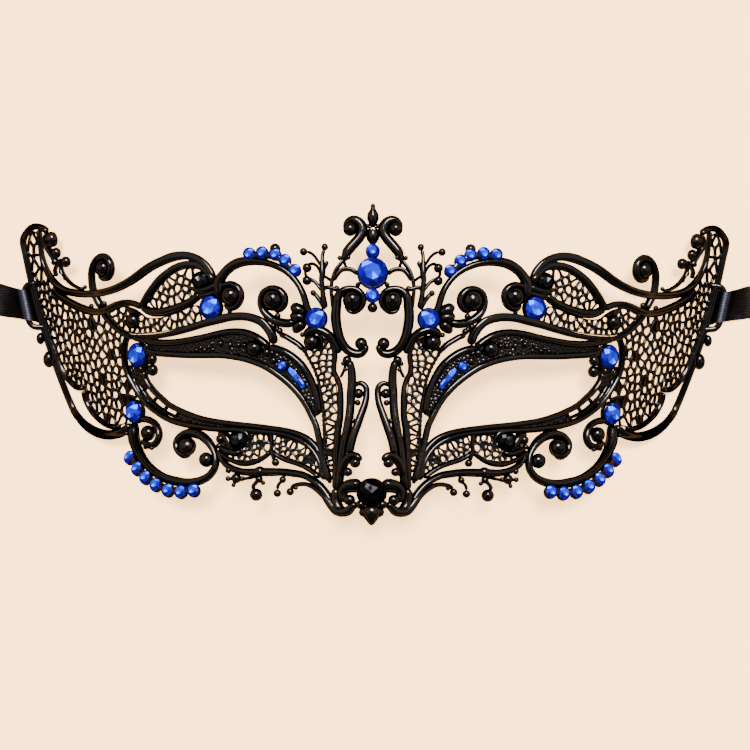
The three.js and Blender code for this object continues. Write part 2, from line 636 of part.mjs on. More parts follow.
// The flat pattern joined and bent, with the rings and beads beside it, and level where it stands
function filigreeFrame() {
  const seat = { widths: [BAR_STONE_WIDTH + 2 * SEAT_MARGIN], points: BAR_STONE, top: SEAT_TOP };
  const flat = [];
  for (const side of [-1, 1]) {
    flat.push(...bars.map((b) => barSolid(b, side)));
    flat.push(...balls.map((b) => ballSolid(b, side)));
    flat.push(...panels.map((p) => panelSolid(p, side)));
    flat.push(...stones.filter((s) => s.seat).map((s) => seatSolid(s, side)));
    flat.push(barSolid(seat, side));
  }
  flat.push(...middleBars.map((b) => barSolid(b, 1)));
  flat.push(...middleBalls.map((b) => ballSolid(b, 1)));
  flat.push(...middleStones.map((s) => seatSolid(s, 1)));
  const [points, faces] = splitForBending(pointsAndFaces(wasm.Manifold.union(flat)));
  const sheet = solid(geometryOf(points.map(bent), faces));
  const beads = (side) => RIM_BEADS.map((bead) => rimBead(bead, side));
  const beside = [-1, 1].flatMap((side) => [ribbonRing(side), ...beads(side)]);
  const below = solid(new THREE.BoxGeometry(...BELOW_FLOOR).translate(0, 0, -BELOW_FLOOR[2] / 2));
  return geometryOf(...pointsAndFaces(wasm.Manifold.union([sheet, ...beside]).subtract(below)));
}

// A ribbon: a fold round the outer bar of the ring, a flat run outwards and the rest rolled up
function ribbonGeometry(side) {
  const inner = RING_BAR / 2 + FOLD_GAP;
  const outer = inner + RIBBON_THICKNESS;
  const top = RIBBON_LIFT + RIBBON_THICKNESS;
  const foldTop = RING_HEIGHT + outer;
  const profile = new THREE.Shape();
  profile.moveTo(RING_X - outer, RIBBON_LIFT + inner);
  profile.lineTo(RING_X - inner, RIBBON_LIFT);
  profile.lineTo(ROLL_DISTANCE, RIBBON_LIFT);
  profile.absarc(ROLL_DISTANCE, RIBBON_LIFT + ROLL_RADIUS, ROLL_RADIUS, -Math.PI / 2, ROLL_END, false);
  profile.lineTo(RING_X + FOLD_LENGTH, top + FOLD_GAP);
  profile.lineTo(RING_X + inner, foldTop);
  profile.lineTo(RING_X - inner, foldTop);
  profile.lineTo(RING_X - outer, foldTop - inner);
  const gap = new THREE.Path();
  gap.moveTo(RING_X - inner, RING_HEIGHT);
  gap.lineTo(RING_X - RING_BAR / 2, top);
  gap.lineTo(RING_X + FOLD_LENGTH / 2, top);
  gap.lineTo(RING_X + inner, RING_HEIGHT + inner);
  gap.lineTo(RING_X - inner, RING_HEIGHT + inner);
  profile.holes.push(gap);
  const flat = { depth: RIBBON_WIDTH, bevelEnabled: false, curveSegments: 14 };
  const strip = new THREE.ExtrudeGeometry(profile, flat).translate(0, 0, -RIBBON_WIDTH / 2);
  strip.rotateX(Math.PI / 2);
  if (side < 0) strip.rotateZ(Math.PI);
  return strip.translate(0, (RING_LOW + RING_HIGH) / 2, 0);
}

const mask = new THREE.Group();

function addPiece(name, geometry, finish) {
  const piece = new THREE.Mesh(geometry, new THREE.MeshStandardMaterial(finish));
  piece.name = name;
  mask.add(piece);
}

addPiece("filigree_frame", filigreeFrame(), LACQUER);
for (const { name, finish, ...place } of middleStones) {
  addPiece("stone_" + name, stoneGeometry(place, 1), finish);
}
for (const [side, word] of [[-1, "left"], [1, "right"]]) {
  for (const { name, finish, ...place } of stones) {
    addPiece("stone_" + name + "_" + word, stoneGeometry(place, side), finish);
  }
  addPiece("stone_slant_bar_" + word, barStoneGeometry(side), BLUE_STONE);
  addPiece("ribbon_" + word, ribbonGeometry(side), SATIN);
}

export default mask;
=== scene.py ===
"""A masquerade mask: black lacquered filigree with crackle nets, cut stones and two satin ribbons."""
import math

import bpy
import numpy as np
from bpy.props import FloatProperty, FloatVectorProperty, IntProperty, PointerProperty
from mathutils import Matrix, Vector


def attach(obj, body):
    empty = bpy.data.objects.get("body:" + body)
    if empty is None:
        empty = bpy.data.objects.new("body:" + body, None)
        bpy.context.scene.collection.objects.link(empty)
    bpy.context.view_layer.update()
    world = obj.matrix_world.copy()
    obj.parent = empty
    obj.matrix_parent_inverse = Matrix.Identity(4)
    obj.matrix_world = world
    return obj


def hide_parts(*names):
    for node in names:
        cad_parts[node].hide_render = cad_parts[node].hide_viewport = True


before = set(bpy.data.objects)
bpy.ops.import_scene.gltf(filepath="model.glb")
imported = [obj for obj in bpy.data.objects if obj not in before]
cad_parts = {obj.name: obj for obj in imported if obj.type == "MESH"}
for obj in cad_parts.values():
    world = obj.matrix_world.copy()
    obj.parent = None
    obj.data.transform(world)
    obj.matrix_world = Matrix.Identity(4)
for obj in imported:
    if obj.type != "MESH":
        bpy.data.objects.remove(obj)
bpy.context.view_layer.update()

bl_info = {
    "name": "Masquerade mask",
    "version": (1, 0, 0),
    "blender": (4, 5, 0),
    "location": "View3D > Sidebar > Mask",
    "description": "Builds a filigree eye mask with stones and ribbons over its packed frame",
    "category": "Add Mesh",
}

# Driving dimensions in millimetres; those of the bent sheet are the same as in the frame
RIM_DEPTH = 52.0
RIM_HALF_WIDTH = 79.5
RIM_FLARE = 0.36
RIM_CURL = 0.003
CHEEK_FLATTENING = 0.106
CHEEK_TOP = -10.0
NOSE_RISE = 6.0
NOSE_SPREAD = 11.0
NOSE_START = 2.0
NOSE_END = 28.0
CROWN_LEAN = 5.0
CROWN_SPREAD = 30.0
CROWN_START = 14.0
CROWN_END = 40.0
PATTERN_DISTANCE = 700.0
PATTERN_MIDDLE = -2.5
PATTERN_DROP = 0.365
REST_HEIGHT = 0.6
FLOOR_GAP = 0.02
CURVE_STEP = 0.2
BACK = 0.6
RIDGE_LEAST = 0.35
RIDGE_RATIO = 0.45
NET_TOP = 0.2
NET_EDGE = 0.5  # length of the short edges that a cell's sides are cut into
DRAWN_CELL = 1.9  # cell size that the spacings of the nets are drawn for
WIDER_CELLS = (18, 24)  # heights between which the cells grow wider
LARGE_BALL = 0.9  # radius over which a ball gets more faces
BEAD_RADIUS = 0.52
BEAD_START = 0.6
BEAD_SPACING = 1.15
STONE_FOOT = 0.7  # height of a stone's underside over the sheet
LARGE_STONE = 2.0  # radius over which a seat has a wide rim
WIDE_RIM = 0.3
NARROW_RIM = 0.1
DIM_TONE = 0.1  # tone of a stone's girdle and underside
BAR_STONE = [(20.6, -0.8), (16.9, -5.5)]
BAR_STONE_WIDTH = 1.4
BAR_SEAT_RIM = 0.4
RING_X = 94.3
RING_SLANT = 1.8
RING_LOW = 9.2
RING_HIGH = 22.0
RING_HEIGHT = 1.4
RING_BAR = 1.6
RIBBON_WIDTH = 8.6
RIBBON_HALF_THICKNESS = 0.14
RIBBON_LIFT = 0.25
ROLL_DISTANCE = 121.0
ROLL_RADIUS = 11.0
ROLL_TURNS = 6
ROLL_PITCH = 0.5


# The bent sheet

def half_width(v):
    """Half the width of the mask at a height of the pattern"""
    return RIM_HALF_WIDTH + RIM_FLARE * v - RIM_CURL * v * v


def bend_radius(v):
    radius = (half_width(v) ** 2 + RIM_DEPTH**2) / (2 * RIM_DEPTH)
    return radius + CHEEK_FLATTENING * np.maximum(CHEEK_TOP - v, 0) ** 2


def smooth(low, high, x):
    t = np.clip((x - low) / (high - low), 0, 1)
    return t * t * (3 - 2 * t)


def unit(rows):
    """Each row brought to a length of one"""
    return rows / np.linalg.norm(rows, axis=1, keepdims=True)


def on_sheet(points):
    """Points of the pattern on the flat sheet; columns after the first two are kept"""
    points = np.array(points, float)
    radius = bend_radius(points[:, 1])
    points[:, 0] = radius * np.arcsin(np.clip(points[:, 0] / radius, -1, 1))
    return points


def bent_middle(across, v):
    """Where a place on the sheet lies on the middle surface of the bent mask"""
    radius = bend_radius(v)
    u = radius * np.sin(across / radius)
    nose = NOSE_RISE * np.exp(-((u / NOSE_SPREAD) ** 2)) * smooth(NOSE_START, NOSE_END, -v)
    crown = CROWN_LEAN * np.exp(-((u / CROWN_SPREAD) ** 2)) * smooth(CROWN_START, CROWN_END, v)
    depth = radius * (1 - np.cos(across / radius)) - nose + crown
    spread = 1 + depth / PATTERN_DISTANCE
    y = PATTERN_MIDDLE + (v - PATTERN_MIDDLE) * spread - PATTERN_DROP
    return np.stack([u * spread, y, RIM_DEPTH - depth + REST_HEIGHT], -1)


def over_floor(points):
    """The points, with those below the floor brought up to just over it"""
    points[:, 2] = np.maximum(points[:, 2], FLOOR_GAP)
    return points


def bent(points):
    """Sheet points with a height over the sheet, where they lie on the bent mask"""
    x, y, height = points.T
    step = 0.05
    across = bent_middle(x + step, y) - bent_middle(x - step, y)
    along = bent_middle(x, y + step) - bent_middle(x, y - step)
    return over_floor(bent_middle(x, y) + unit(np.cross(across, along)) * height[:, None])


# Meshes

class Shell:
    """Points in millimetres and the faces over them, each with a tone"""

    def __init__(self, points, faces, tones=None):
        self.points = points
        self.faces = faces
        self.tones = tones or [0.0] * len(faces)

    def mirrored(self):
        return Shell(self.points * (-1, 1, 1), [face[::-1] for face in self.faces], self.tones)

    def piece(self, name, finish, slot, stands_for, crease=40):
        """The shell as a piece of the object that stands for the named frame nodes"""
        mesh = bpy.data.meshes.new(name)
        mesh.from_pydata(self.points * 0.001, [], self.faces)
        tone = mesh.attributes.new("tone", "FLOAT", "FACE")
        tone.data.foreach_set("value", self.tones)
        mesh.shade_smooth()
        mesh.set_sharp_from_angle(angle=math.radians(crease))
        mesh.materials.append(finish)
        made = bpy.data.objects.new(name, mesh)
        bpy.context.scene.collection.objects.link(made)
        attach(made, "root")
        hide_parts(stands_for)
        return made


def joined(shells):
    """Many shells as one"""
    faces, tones, start = [], [], 0
    for shell in shells:
        faces += [tuple(corner + start for corner in face) for face in shell.faces]
        tones += shell.tones
        start += len(shell.points)
    return Shell(np.vstack([shell.points for shell in shells]), faces, tones)


def both_sides(shells):
    """The shells with their mirror images, as one"""
    half = joined(shells)
    return joined([half, half.mirrored()])


def tube_faces(rings, sides):
    """Faces of a closed tube of rings, with a cap at each end"""
    faces = []
    for low in range(0, (rings - 1) * sides, sides):
        for side in range(sides):
            turned = (side + 1) % sides
            faces.append((low + side, low + turned, low + sides + turned, low + sides + side))
    faces.append(tuple(range(sides))[::-1])
    faces.append(tuple(range((rings - 1) * sides, rings * sides)))
    return faces


def circle(count, radius, height, first=0.0):
    """Points round the origin at a height"""
    turns = first + np.linspace(0, 2 * math.pi, count, endpoint=False)
    return np.stack([radius * np.cos(turns), radius * np.sin(turns), np.full(count, height)], -1)


def stood(u, v, points, faces, tones=None):
    """A shape round the origin, stood at a place of the pattern and bent with the sheet"""
    points[:, :2] += on_sheet([(u, v)])[0]
    return Shell(bent(points), faces, tones)


def spline(points):
    """A smooth centripetal curve through rows of numbers, led by their first two columns"""
    points = np.array(points, float)
    padded = np.vstack([2 * points[0] - points[1], points, 2 * points[-1] - points[-2]])
    rows = []
    for a, b, c, d in zip(padded, padded[1:], padded[2:], padded[3:]):
        before, here, after = (max(np.hypot(*(q - p)[:2]) ** 0.5, 1e-3) for p, q in ((a, b), (b, c), (c, d)))
        leave = ((b - a) / before - (c - a) / (before + here) + (c - b) / here) * here
        reach = ((c - b) / here - (d - b) / (here + after) + (d - c) / after) * here
        t = np.linspace(0, 1, max(3, int(here * here / CURVE_STEP)), endpoint=False)[:, None]
        curve = b + leave * t + (3 * (c - b) - 2 * leave - reach) * t**2
        rows.append(curve + (leave + reach - 2 * (c - b)) * t**3)
    return np.vstack(rows + [points[-1:]])


def lengths(line):
    """How far along a line each of its points lies"""
    steps = np.hypot(*np.diff(line[:, :2], axis=0).T)
    return np.concatenate([[0], np.cumsum(steps)])


def normals_of(path):
    """The direction to the left of a flat path at each of its points"""
    headings = unit(np.gradient(path, axis=0))
    return np.stack([-headings[:, 1], headings[:, 0]], -1)


def stations(line, low, high):
    """Places along a line between two lengths, close together where it turns"""
    least_gap, greatest_gap, greatest_turn = 0.25, 1.1, 0.13
    run = lengths(line)
    heading = np.unwrap(np.arctan2(*np.gradient(line[:, :2], axis=0).T[::-1]))
    kept = [low]
    last_heading = np.interp(low, run, heading)
    for place, angle in zip(run, heading):
        if place <= low or place >= high:
            continue
        gap = place - kept[-1]
        if gap > least_gap and (abs(angle - last_heading) > greatest_turn or gap > greatest_gap):
            kept.append(place)
            last_heading = angle
    return np.array(kept + [high])


SECTION_TURNS = np.radians([0, 18, 42, 66, 90, 114, 138, 162, 180])
END_TURNS = np.radians([14, 35, 60])


def section(roundness):
    """Half-round section of a bar: across from -1 to 1, and up from 0 at the sides to 1 on the ridge"""
    across = np.sign(np.cos(SECTION_TURNS)) * np.abs(np.cos(SECTION_TURNS)) ** roundness
    return across, np.sin(SECTION_TURNS) ** roundness


def bar_shell(points, roundness=1.0, lift=0.0):
    """A tapering bar on the bent sheet with rounded ends; each point gives u, v and the width there"""
    line = spline(on_sheet(points))
    run = lengths(line)
    first, last = line[0, 2] / 2, line[-1, 2] / 2
    least_middle = 0.05
    middle = stations(line, first, max(run[-1] - last, first + least_middle))
    ends = first * (1 - np.cos(END_TURNS)), run[-1] - last * (1 - np.cos(END_TURNS[::-1]))
    places = np.concatenate([ends[0], middle, ends[1]])
    scale = np.concatenate([np.sin(END_TURNS), np.ones(len(middle)), np.sin(END_TURNS[::-1])])
    x, y, width = (np.interp(places, run, column) for column in line.T)
    slope = np.gradient(line[:, :2], axis=0)
    tangent = unit(np.stack([np.interp(places, run, column) for column in slope.T], -1))
    across, up = section(roundness)
    side_height, back_edge, back_share = -0.3, -0.15, 0.8
    ridge = (RIDGE_LEAST + RIDGE_RATIO * width + lift) * scale
    offsets = np.concatenate([across, [-back_share, back_share]]) * (width * scale / 2)[:, None]
    heights = side_height + up * (ridge - side_height)[:, None]
    backs = np.repeat(back_edge - (BACK + back_edge) * scale[:, None], 2, axis=1)
    sheet = np.stack([
        x[:, None] - tangent[:, 1:2] * offsets,
        y[:, None] + tangent[:, 0:1] * offsets,
        np.hstack([heights, backs]),
    ], -1)
    return Shell(bent(sheet.reshape(-1, 3)), tube_faces(len(places), len(across) + 2))


def ball_shell(u, v, radius, lift=0.1):
    """A ball end, flattened at the back of the sheet"""
    sides, rings = (16, 9) if radius > LARGE_BALL else (12, 6)
    levels = np.linspace(-math.pi / 2, math.pi / 2, rings + 2)[1:-1]
    bands = [circle(sides, math.cos(level), math.sin(level)) for level in levels]
    points = np.vstack(bands + [[(0, 0, -1)], [(0, 0, 1)]]) * radius
    points[:, 2] = np.maximum(points[:, 2] + lift * radius, -BACK)
    faces = tube_faces(rings, sides)[:-2]
    top, poles = (rings - 1) * sides, rings * sides
    faces += [((side + 1) % sides, side, poles) for side in range(sides)]
    faces += [(top + side, top + (side + 1) % sides, poles + 1) for side in range(sides)]
    return stood(u, v, points, faces)


# Crackle nets

def inside(points, outline):
    """Which points lie inside a closed outline"""
    x, y = points[:, 0, None], points[:, 1, None]
    a, b = outline, np.roll(outline, -1, axis=0)
    crosses = (a[:, 1] > y) != (b[:, 1] > y)
    rise = np.where(b[:, 1] == a[:, 1], 1e-9, b[:, 1] - a[:, 1])
    return (crosses & (x < a[:, 0] + (b[:, 0] - a[:, 0]) * (y - a[:, 1]) / rise)).sum(1) % 2 == 1


def nearest_on(points, outline):
    """The nearest place on a closed outline for each point, and how far away it is"""
    a, b = outline, np.roll(outline, -1, axis=0)
    edge = b - a
    t = ((points[:, None] - a) * edge).sum(-1) / np.maximum((edge**2).sum(-1), 1e-12)
    feet = a + np.clip(t, 0, 1)[..., None] * edge
    away = np.linalg.norm(points[:, None] - feet, axis=-1)
    return feet[np.arange(len(points)), away.argmin(1)], away.min(1)


def scattered(outline, spacing, chance):
    """Places inside an outline, none closer together than a share of the spacing"""
    tries_per_cell, rim_share, least_share, more_above = 30, 0.33, 0.72, 0.25
    low, high = outline.min(0), outline.max(0)
    tries = int(tries_per_cell * np.prod(high - low) / spacing**2)
    places = low + (high - low) * chance.random((tries, 2))
    places = places[inside(places, outline)]
    places = places[nearest_on(places, outline)[1] > rim_share * spacing]
    kept = places[:1]
    for place in places[1:]:
        share = least_share + more_above * smooth(*WIDER_CELLS, place[1])
        if np.hypot(*(kept - place).T).min() > spacing * share:
            kept = np.vstack([kept, place])
    return kept


def cell_around(seed, others, reach):
    """The polygon of the places that are nearer to a seed than to the others"""
    polygon = [seed + reach * np.array(corner) for corner in ((-1, -1), (1, -1), (1, 1), (-1, 1))]
    for other in others:
        middle, away = (seed + other) / 2, other - seed
        sides = [float((corner - middle) @ away) for corner in polygon]
        if max(sides) <= 0:
            continue
        cut = []
        following = zip(polygon[1:] + polygon[:1], sides[1:] + sides[:1])
        for corner, side, (next_corner, next_side) in zip(polygon, sides, following):
            if side <= 0:
                cut.append(corner)
            if side * next_side < 0:
                cut.append(corner + (next_corner - corner) * side / (side - next_side))
        polygon = cut
    return polygon


def held_inside(polygon, outline):
    """A polygon with its corners that lie outside an outline moved onto it"""
    corners = np.array(polygon)
    outer = ~inside(corners, outline)
    if outer.any():
        corners[outer] = nearest_on(corners[outer], outline)[0]
    return list(corners)


class Plate:
    """A net in the making: shared corners on top and below, and the faces between them"""

    def __init__(self):
        self.points = []
        self.places = {}
        self.faces = []
        self.borders = {}

    def corner(self, place):
        """The corner on top at a place; the one below it comes next"""
        key = (round(float(place[0]), 2), round(float(place[1]), 2))
        if key not in self.places:
            self.places[key] = self.free(key, NET_TOP)
            self.free(key, -BACK)
        return self.places[key]

    def free(self, place, height):
        self.points.append((place[0], place[1], height))
        return len(self.points) - 1

    def strip(self, first, second):
        """Faces between two rings of corners"""
        for i in range(len(first)):
            j = (i + 1) % len(first)
            self.faces.append((first[i], first[j], second[j], second[i]))

    def border(self, ring):
        """Keeps the edges of a cell that no other cell shares"""
        for a, b in zip(ring, ring[1:] + ring[:1]):
            if (b, a) in self.borders:
                del self.borders[(b, a)]
            else:
                self.borders[(a, b)] = True

    def shell(self):
        walls = [(b, a, a + 1, b + 1) for a, b in self.borders]
        return Shell(bent(np.array(self.points)), self.faces + walls)


def net_shell(outline, spacing, strut, open_share, seed):
    """A net of rounded holes inside an outline of the pattern"""
    ghost_reach, neighbour_reach, cell_reach = 1.4 * spacing, 4 * spacing, 2 * spacing
    least_hole, greatest_inset, roundings, lip_share = 0.2, 0.75, 3, 0.6
    lip_drop, closed_drop, open_drop, back_bevel = 0.06, 0.2, 0.3, 0.05
    chance = np.random.default_rng(seed)
    outline = spline(on_sheet(outline + outline[:1]))[:-1]
    seeds = scattered(outline, spacing, chance)
    feet, away = nearest_on(seeds, outline)
    ghosts = (2 * feet - seeds)[away < ghost_reach]
    crowd = np.vstack([seeds, ghosts])
    plate = Plate()
    for middle in seeds:
        gaps = np.hypot(*(crowd - middle).T)
        order = np.argsort(gaps)[1:]
        order = order[gaps[order] < neighbour_reach]
        polygon = held_inside(cell_around(middle, crowd[order], cell_reach), outline)
        ring = []
        for a, b in zip(polygon, polygon[1:] + polygon[:1]):
            parts = max(1, round(float(np.hypot(*(b - a))) / NET_EDGE))
            corners = [plate.corner(a + (b - a) * k / parts) for k in range(parts)]
            ring += [corner for corner in corners if corner not in ring]
        if len(ring) < 4:
            continue
        edge = np.array([plate.points[corner][:2] for corner in ring])
        centre = edge.mean(0)
        size = np.hypot(*(centre - edge).T)
        width = strut * chance.uniform(0.7, 1.35)
        inset = np.minimum(greatest_inset, width / np.maximum(size, 1e-6))
        hole = edge + (centre - edge) * inset[:, None]
        for _ in range(roundings):
            hole = hole / 2 + (np.roll(hole, 1, axis=0) + np.roll(hole, -1, axis=0)) / 4
        closed = np.hypot(*(hole - centre).T).min() < least_hole or chance.random() > open_share
        lips = [plate.free(place, NET_TOP - lip_drop) for place in edge * (1 - lip_share) + hole * lip_share]
        uppers = [plate.free(place, NET_TOP - (closed_drop if closed else open_drop)) for place in hole]
        plate.strip(ring, lips)
        plate.strip(lips, uppers)
        plate.border(ring)
        below = [corner + 1 for corner in ring]
        if closed:
            plate.faces += [tuple(uppers), tuple(below[::-1])]
            continue
        lowers = [plate.free(place, back_bevel - BACK) for place in hole]
        plate.strip(uppers, lowers)
        plate.strip(lowers, below)
    return plate.shell()


# Cut stones

def stone_shell(u, v, radius, chance, painted_highlight_turn):
    """A brilliant-cut stone: table, star and kite facets and a girdle; its facet tones carry painted
    highlights and shade, lit from one side, and one side of its table is painted brighter
    """
    sides = 8
    half = math.pi / sides
    # Facets that face this turn get painted highlights; those turned away keep darker tones as painted shade
    light_from = 2.2
    height = 0.3 + 0.42 * radius
    top = STONE_FOOT + height
    table_share, star_share, foot_share = 0.56, 0.8, 0.97
    star_rise, girdle_rise = 0.66 * height, 0.3 * height
    points = np.vstack([
        [(0, 0, top)],
        circle(sides, table_share * radius, top),
        circle(sides, star_share * radius, STONE_FOOT + star_rise, half),
        circle(2 * sides, radius, STONE_FOOT + girdle_rise),
        circle(2 * sides, foot_share * radius, STONE_FOOT),
    ])
    table, middle, girdle, base = 1, 1 + sides, 1 + 2 * sides, 1 + 4 * sides
    facets = []
    for i in range(sides):
        j = (i + 1) % sides
        turn = 2 * half * (i + 0.5)
        # Painted light: table facets on one side get a painted highlight, and facets facing light_from are
        # painted lit
        below = max(math.cos(turn + painted_highlight_turn), 0) ** 5
        above = max(math.cos(turn - light_from), 0) ** 8
        side, end = girdle + 2 * i, girdle + 2 * j
        facets += [
            ((0, table + i, table + j), 0.6 + 0.36 * below + chance.uniform(-0.1, 0.1)),
            ((table + i, middle + i, table + j), 0.3 + 0.7 * above + chance.uniform(-0.2, 0.12)),
            ((table + j, middle + i, end, middle + j), 0.14 + 0.9 * above + chance.uniform(-0.14, 0.2)),
            ((middle + i, side, side + 1), 0.5 * above + chance.uniform(0.0, 0.3)),
            ((middle + i, side + 1, end), chance.uniform(0.1, 0.5)),
        ]
    for i in range(2 * sides):
        j = (i + 1) % (2 * sides)
        facets.append(((girdle + i, base + i, base + j, girdle + j), DIM_TONE))
    facets.append((tuple(range(base, base + 2 * sides))[::-1], DIM_TONE))
    faces, tones = zip(*facets)
    return stood(u, v, points, list(faces), list(tones))


def bezel_shell(u, v, radius):
    """The seat of a stone: a wide rim round a large one, and a narrow one round a stone of a row"""
    sides = 28
    rim = radius + (WIDE_RIM if radius > LARGE_STONE else NARROW_RIM)
    profile = [
        (rim - 0.3, -BACK), (rim - 0.04, -BACK + 0.15), (rim, STONE_FOOT - 0.2),
        (rim - 0.06, STONE_FOOT + 0.06), (rim - 0.14, STONE_FOOT + 0.14),
        (radius + 0.03, STONE_FOOT + 0.06), (radius - 0.05, STONE_FOOT - 0.15),
        (radius - 0.3, STONE_FOOT - 0.2),
    ]
    points = np.vstack([circle(sides, across, height) for across, height in profile])
    return stood(u, v, points, tube_faces(len(profile), sides))


def bar_stone_shell(chance):
    """The bar-shaped stone beside the nose: sloped sides and a long table in four facets"""
    start, end = on_sheet(BAR_STONE)
    side = normals_of(np.array([start, end]))[0]
    shares = (0, 0.12, 0.37, 0.62, 0.88, 1)
    widths = (0.5, 1, 1, 1, 1, 0.5)
    tables = (0.45, 0.9, 0.9, 0.9, 0.9, 0.45)
    rings = []
    for share, width, top in zip(shares, widths, tables):
        middle = start + (end - start) * share
        for across, height in ((0.5, 0), (0.5, 0.35), (0.25, top), (-0.25, top), (-0.5, 0.35), (-0.5, 0)):
            place = middle - side * across * BAR_STONE_WIDTH * width
            rings.append((*place, STONE_FOOT + height))
    faces = [face[::-1] for face in tube_faces(6, 6)]
    return Shell(bent(np.array(rings)), faces, [chance.uniform(0.1, 0.9) for _ in faces])


# Ribbons, their rings and the beads of the rim

def ring_shell():
    """The ring beside the rim that the ribbon goes round"""
    sides = 12
    corner = [(6, 0.2), (3.2, 0.5), (1.1, 0.9), (0.15, 2.2), (0, 4.2)]
    foot = [(0, 4.2), (0.15, 2.2), (1.1, 0.9), (3.2, 0.6), (6.4, 0.6)]
    line = spline(
        [(RING_X - back, RING_HIGH - down) for back, down in corner]
        + [(RING_X - back, RING_LOW + up) for back, up in foot]
    )
    line[:, 0] -= RING_SLANT * (RING_HIGH - line[:, 1]) / (RING_HIGH - RING_LOW)
    across, up, _ = circle(sides, RING_BAR / 2, 0).T
    points = np.zeros((len(line), sides, 3))
    points[:, :, :2] = line[:, None] + normals_of(line)[:, None] * across[:, None]
    points[:, :, 2] = RING_HEIGHT + up
    return Shell(points.reshape(-1, 3), tube_faces(len(line), sides))


def rim_bead_shell(v, radius, out):
    """A bead on the outside of the rim, longer than wide"""
    length, rise = 1.4 * radius, 0.4
    shell = ball_shell(0, 0, 1.0, lift=0)
    ball = shell.points - bent(np.zeros((1, 3)))[0]
    rim = bent_middle(*on_sheet([(half_width(v), v)])[0])
    shell.points = over_floor(ball * (radius, length, radius) + rim + (out, 0, rise))
    return shell


def ribbon_path():
    """Middle line of a ribbon, out and up: round the ring, along the floor and into a roll"""
    fold = [
        (8.5, 0.72), (5, 0.9), (2.4, 1.6), (1.1, 2.3), (0, 2.6), (-1, 2.2), (-1.7, 1.4), (-2.6, 1.0),
        (-2.9, 0.65), (-2.2, 0.35), (1.5, RIBBON_LIFT), (5, RIBBON_LIFT), (12, RIBBON_LIFT),
    ]
    flat = [(ROLL_DISTANCE - 8, RIBBON_LIFT), (ROLL_DISTANCE, RIBBON_LIFT)]
    run = spline([(RING_X + out, up) for out, up in fold] + flat)
    turns = np.arange(6, 360 * ROLL_TURNS, 6.0)
    radius = ROLL_RADIUS - RIBBON_LIFT - ROLL_PITCH * turns / 360
    angles = np.radians(turns - 90)
    roll = np.stack([ROLL_DISTANCE + radius * np.cos(angles), ROLL_RADIUS + radius * np.sin(angles)], -1)
    return np.vstack([run, roll])


def ribbon_shell():
    """A satin strip with soft ripples and slightly lifted edges; the faces on the crest of the fold are
    marked for a painted sheen
    """
    path = ribbon_path()
    run = lengths(path)[:, None]
    normals = normals_of(path)
    across = np.linspace(-0.5, 0.5, 13)
    out = path[:, :1] - RING_X
    in_ring = smooth(0.6, 2, -out)
    width = RIBBON_WIDTH - 0.3 + 0.4 * smooth(2, 7, out) + 1.2 * in_ring
    slant = (RING_SLANT + 0.9 * in_ring - RING_SLANT * smooth(1, 5, out)) * (0.5 - across)
    loose = smooth(9, 22, run) * (1 - smooth(36, 60, run))
    ripple, ripple_length, ripple_slant, edge_lift = 0.16, 2.1, 5, 0.125
    lift = loose * ripple * (1 + np.sin(run / ripple_length + ripple_slant * across))
    lift = lift + edge_lift * (2 * across) ** 4 * smooth(12, 30, run)
    middle_y = (RING_LOW + RING_HIGH) / 2 + 0.25 * np.clip(out, 0, 6) + 0.1 * np.sin(run / 9)
    # Painted sheen: faces on the crest of the fold round the ring get a tone that lightens them
    painted_sheen_crest = (1 - smooth(0.5, 1.4, np.abs(out - 0.4))) * (path[:, 1:] > 1.5)
    least_height = 0.03
    layers = []
    for side in (RIBBON_HALF_THICKNESS, -RIBBON_HALF_THICKNESS):
        off = lift + side
        layers.append(np.stack([
            path[:, :1] + normals[:, :1] * off - slant,
            middle_y + width * across,
            np.maximum(path[:, 1:] + normals[:, 1:] * off, least_height),
        ], -1))
    points = np.concatenate([layers[0], layers[1][:, ::-1]], axis=1)
    sides = 2 * len(across)
    faces = [face[::-1] for face in tube_faces(len(path), sides)]
    return Shell(points.reshape(-1, 3), faces, [painted_sheen_crest[min(face) // sides, 0] for face in faces])


# Finishes

class Socket:
    """An output of a shader node that takes part in Python sums"""

    def __init__(self, finish, output):
        self.finish = finish
        self.output = output

    def __add__(self, other):
        return self.finish.maths("ADD", self, other)

    def __sub__(self, other):
        return self.finish.maths("SUBTRACT", self, other)

    def __rsub__(self, other):
        return self.finish.maths("SUBTRACT", other, self)

    def __mul__(self, other):
        return self.finish.maths("MULTIPLY", self, other)

    __radd__ = __add__
    __rmul__ = __mul__


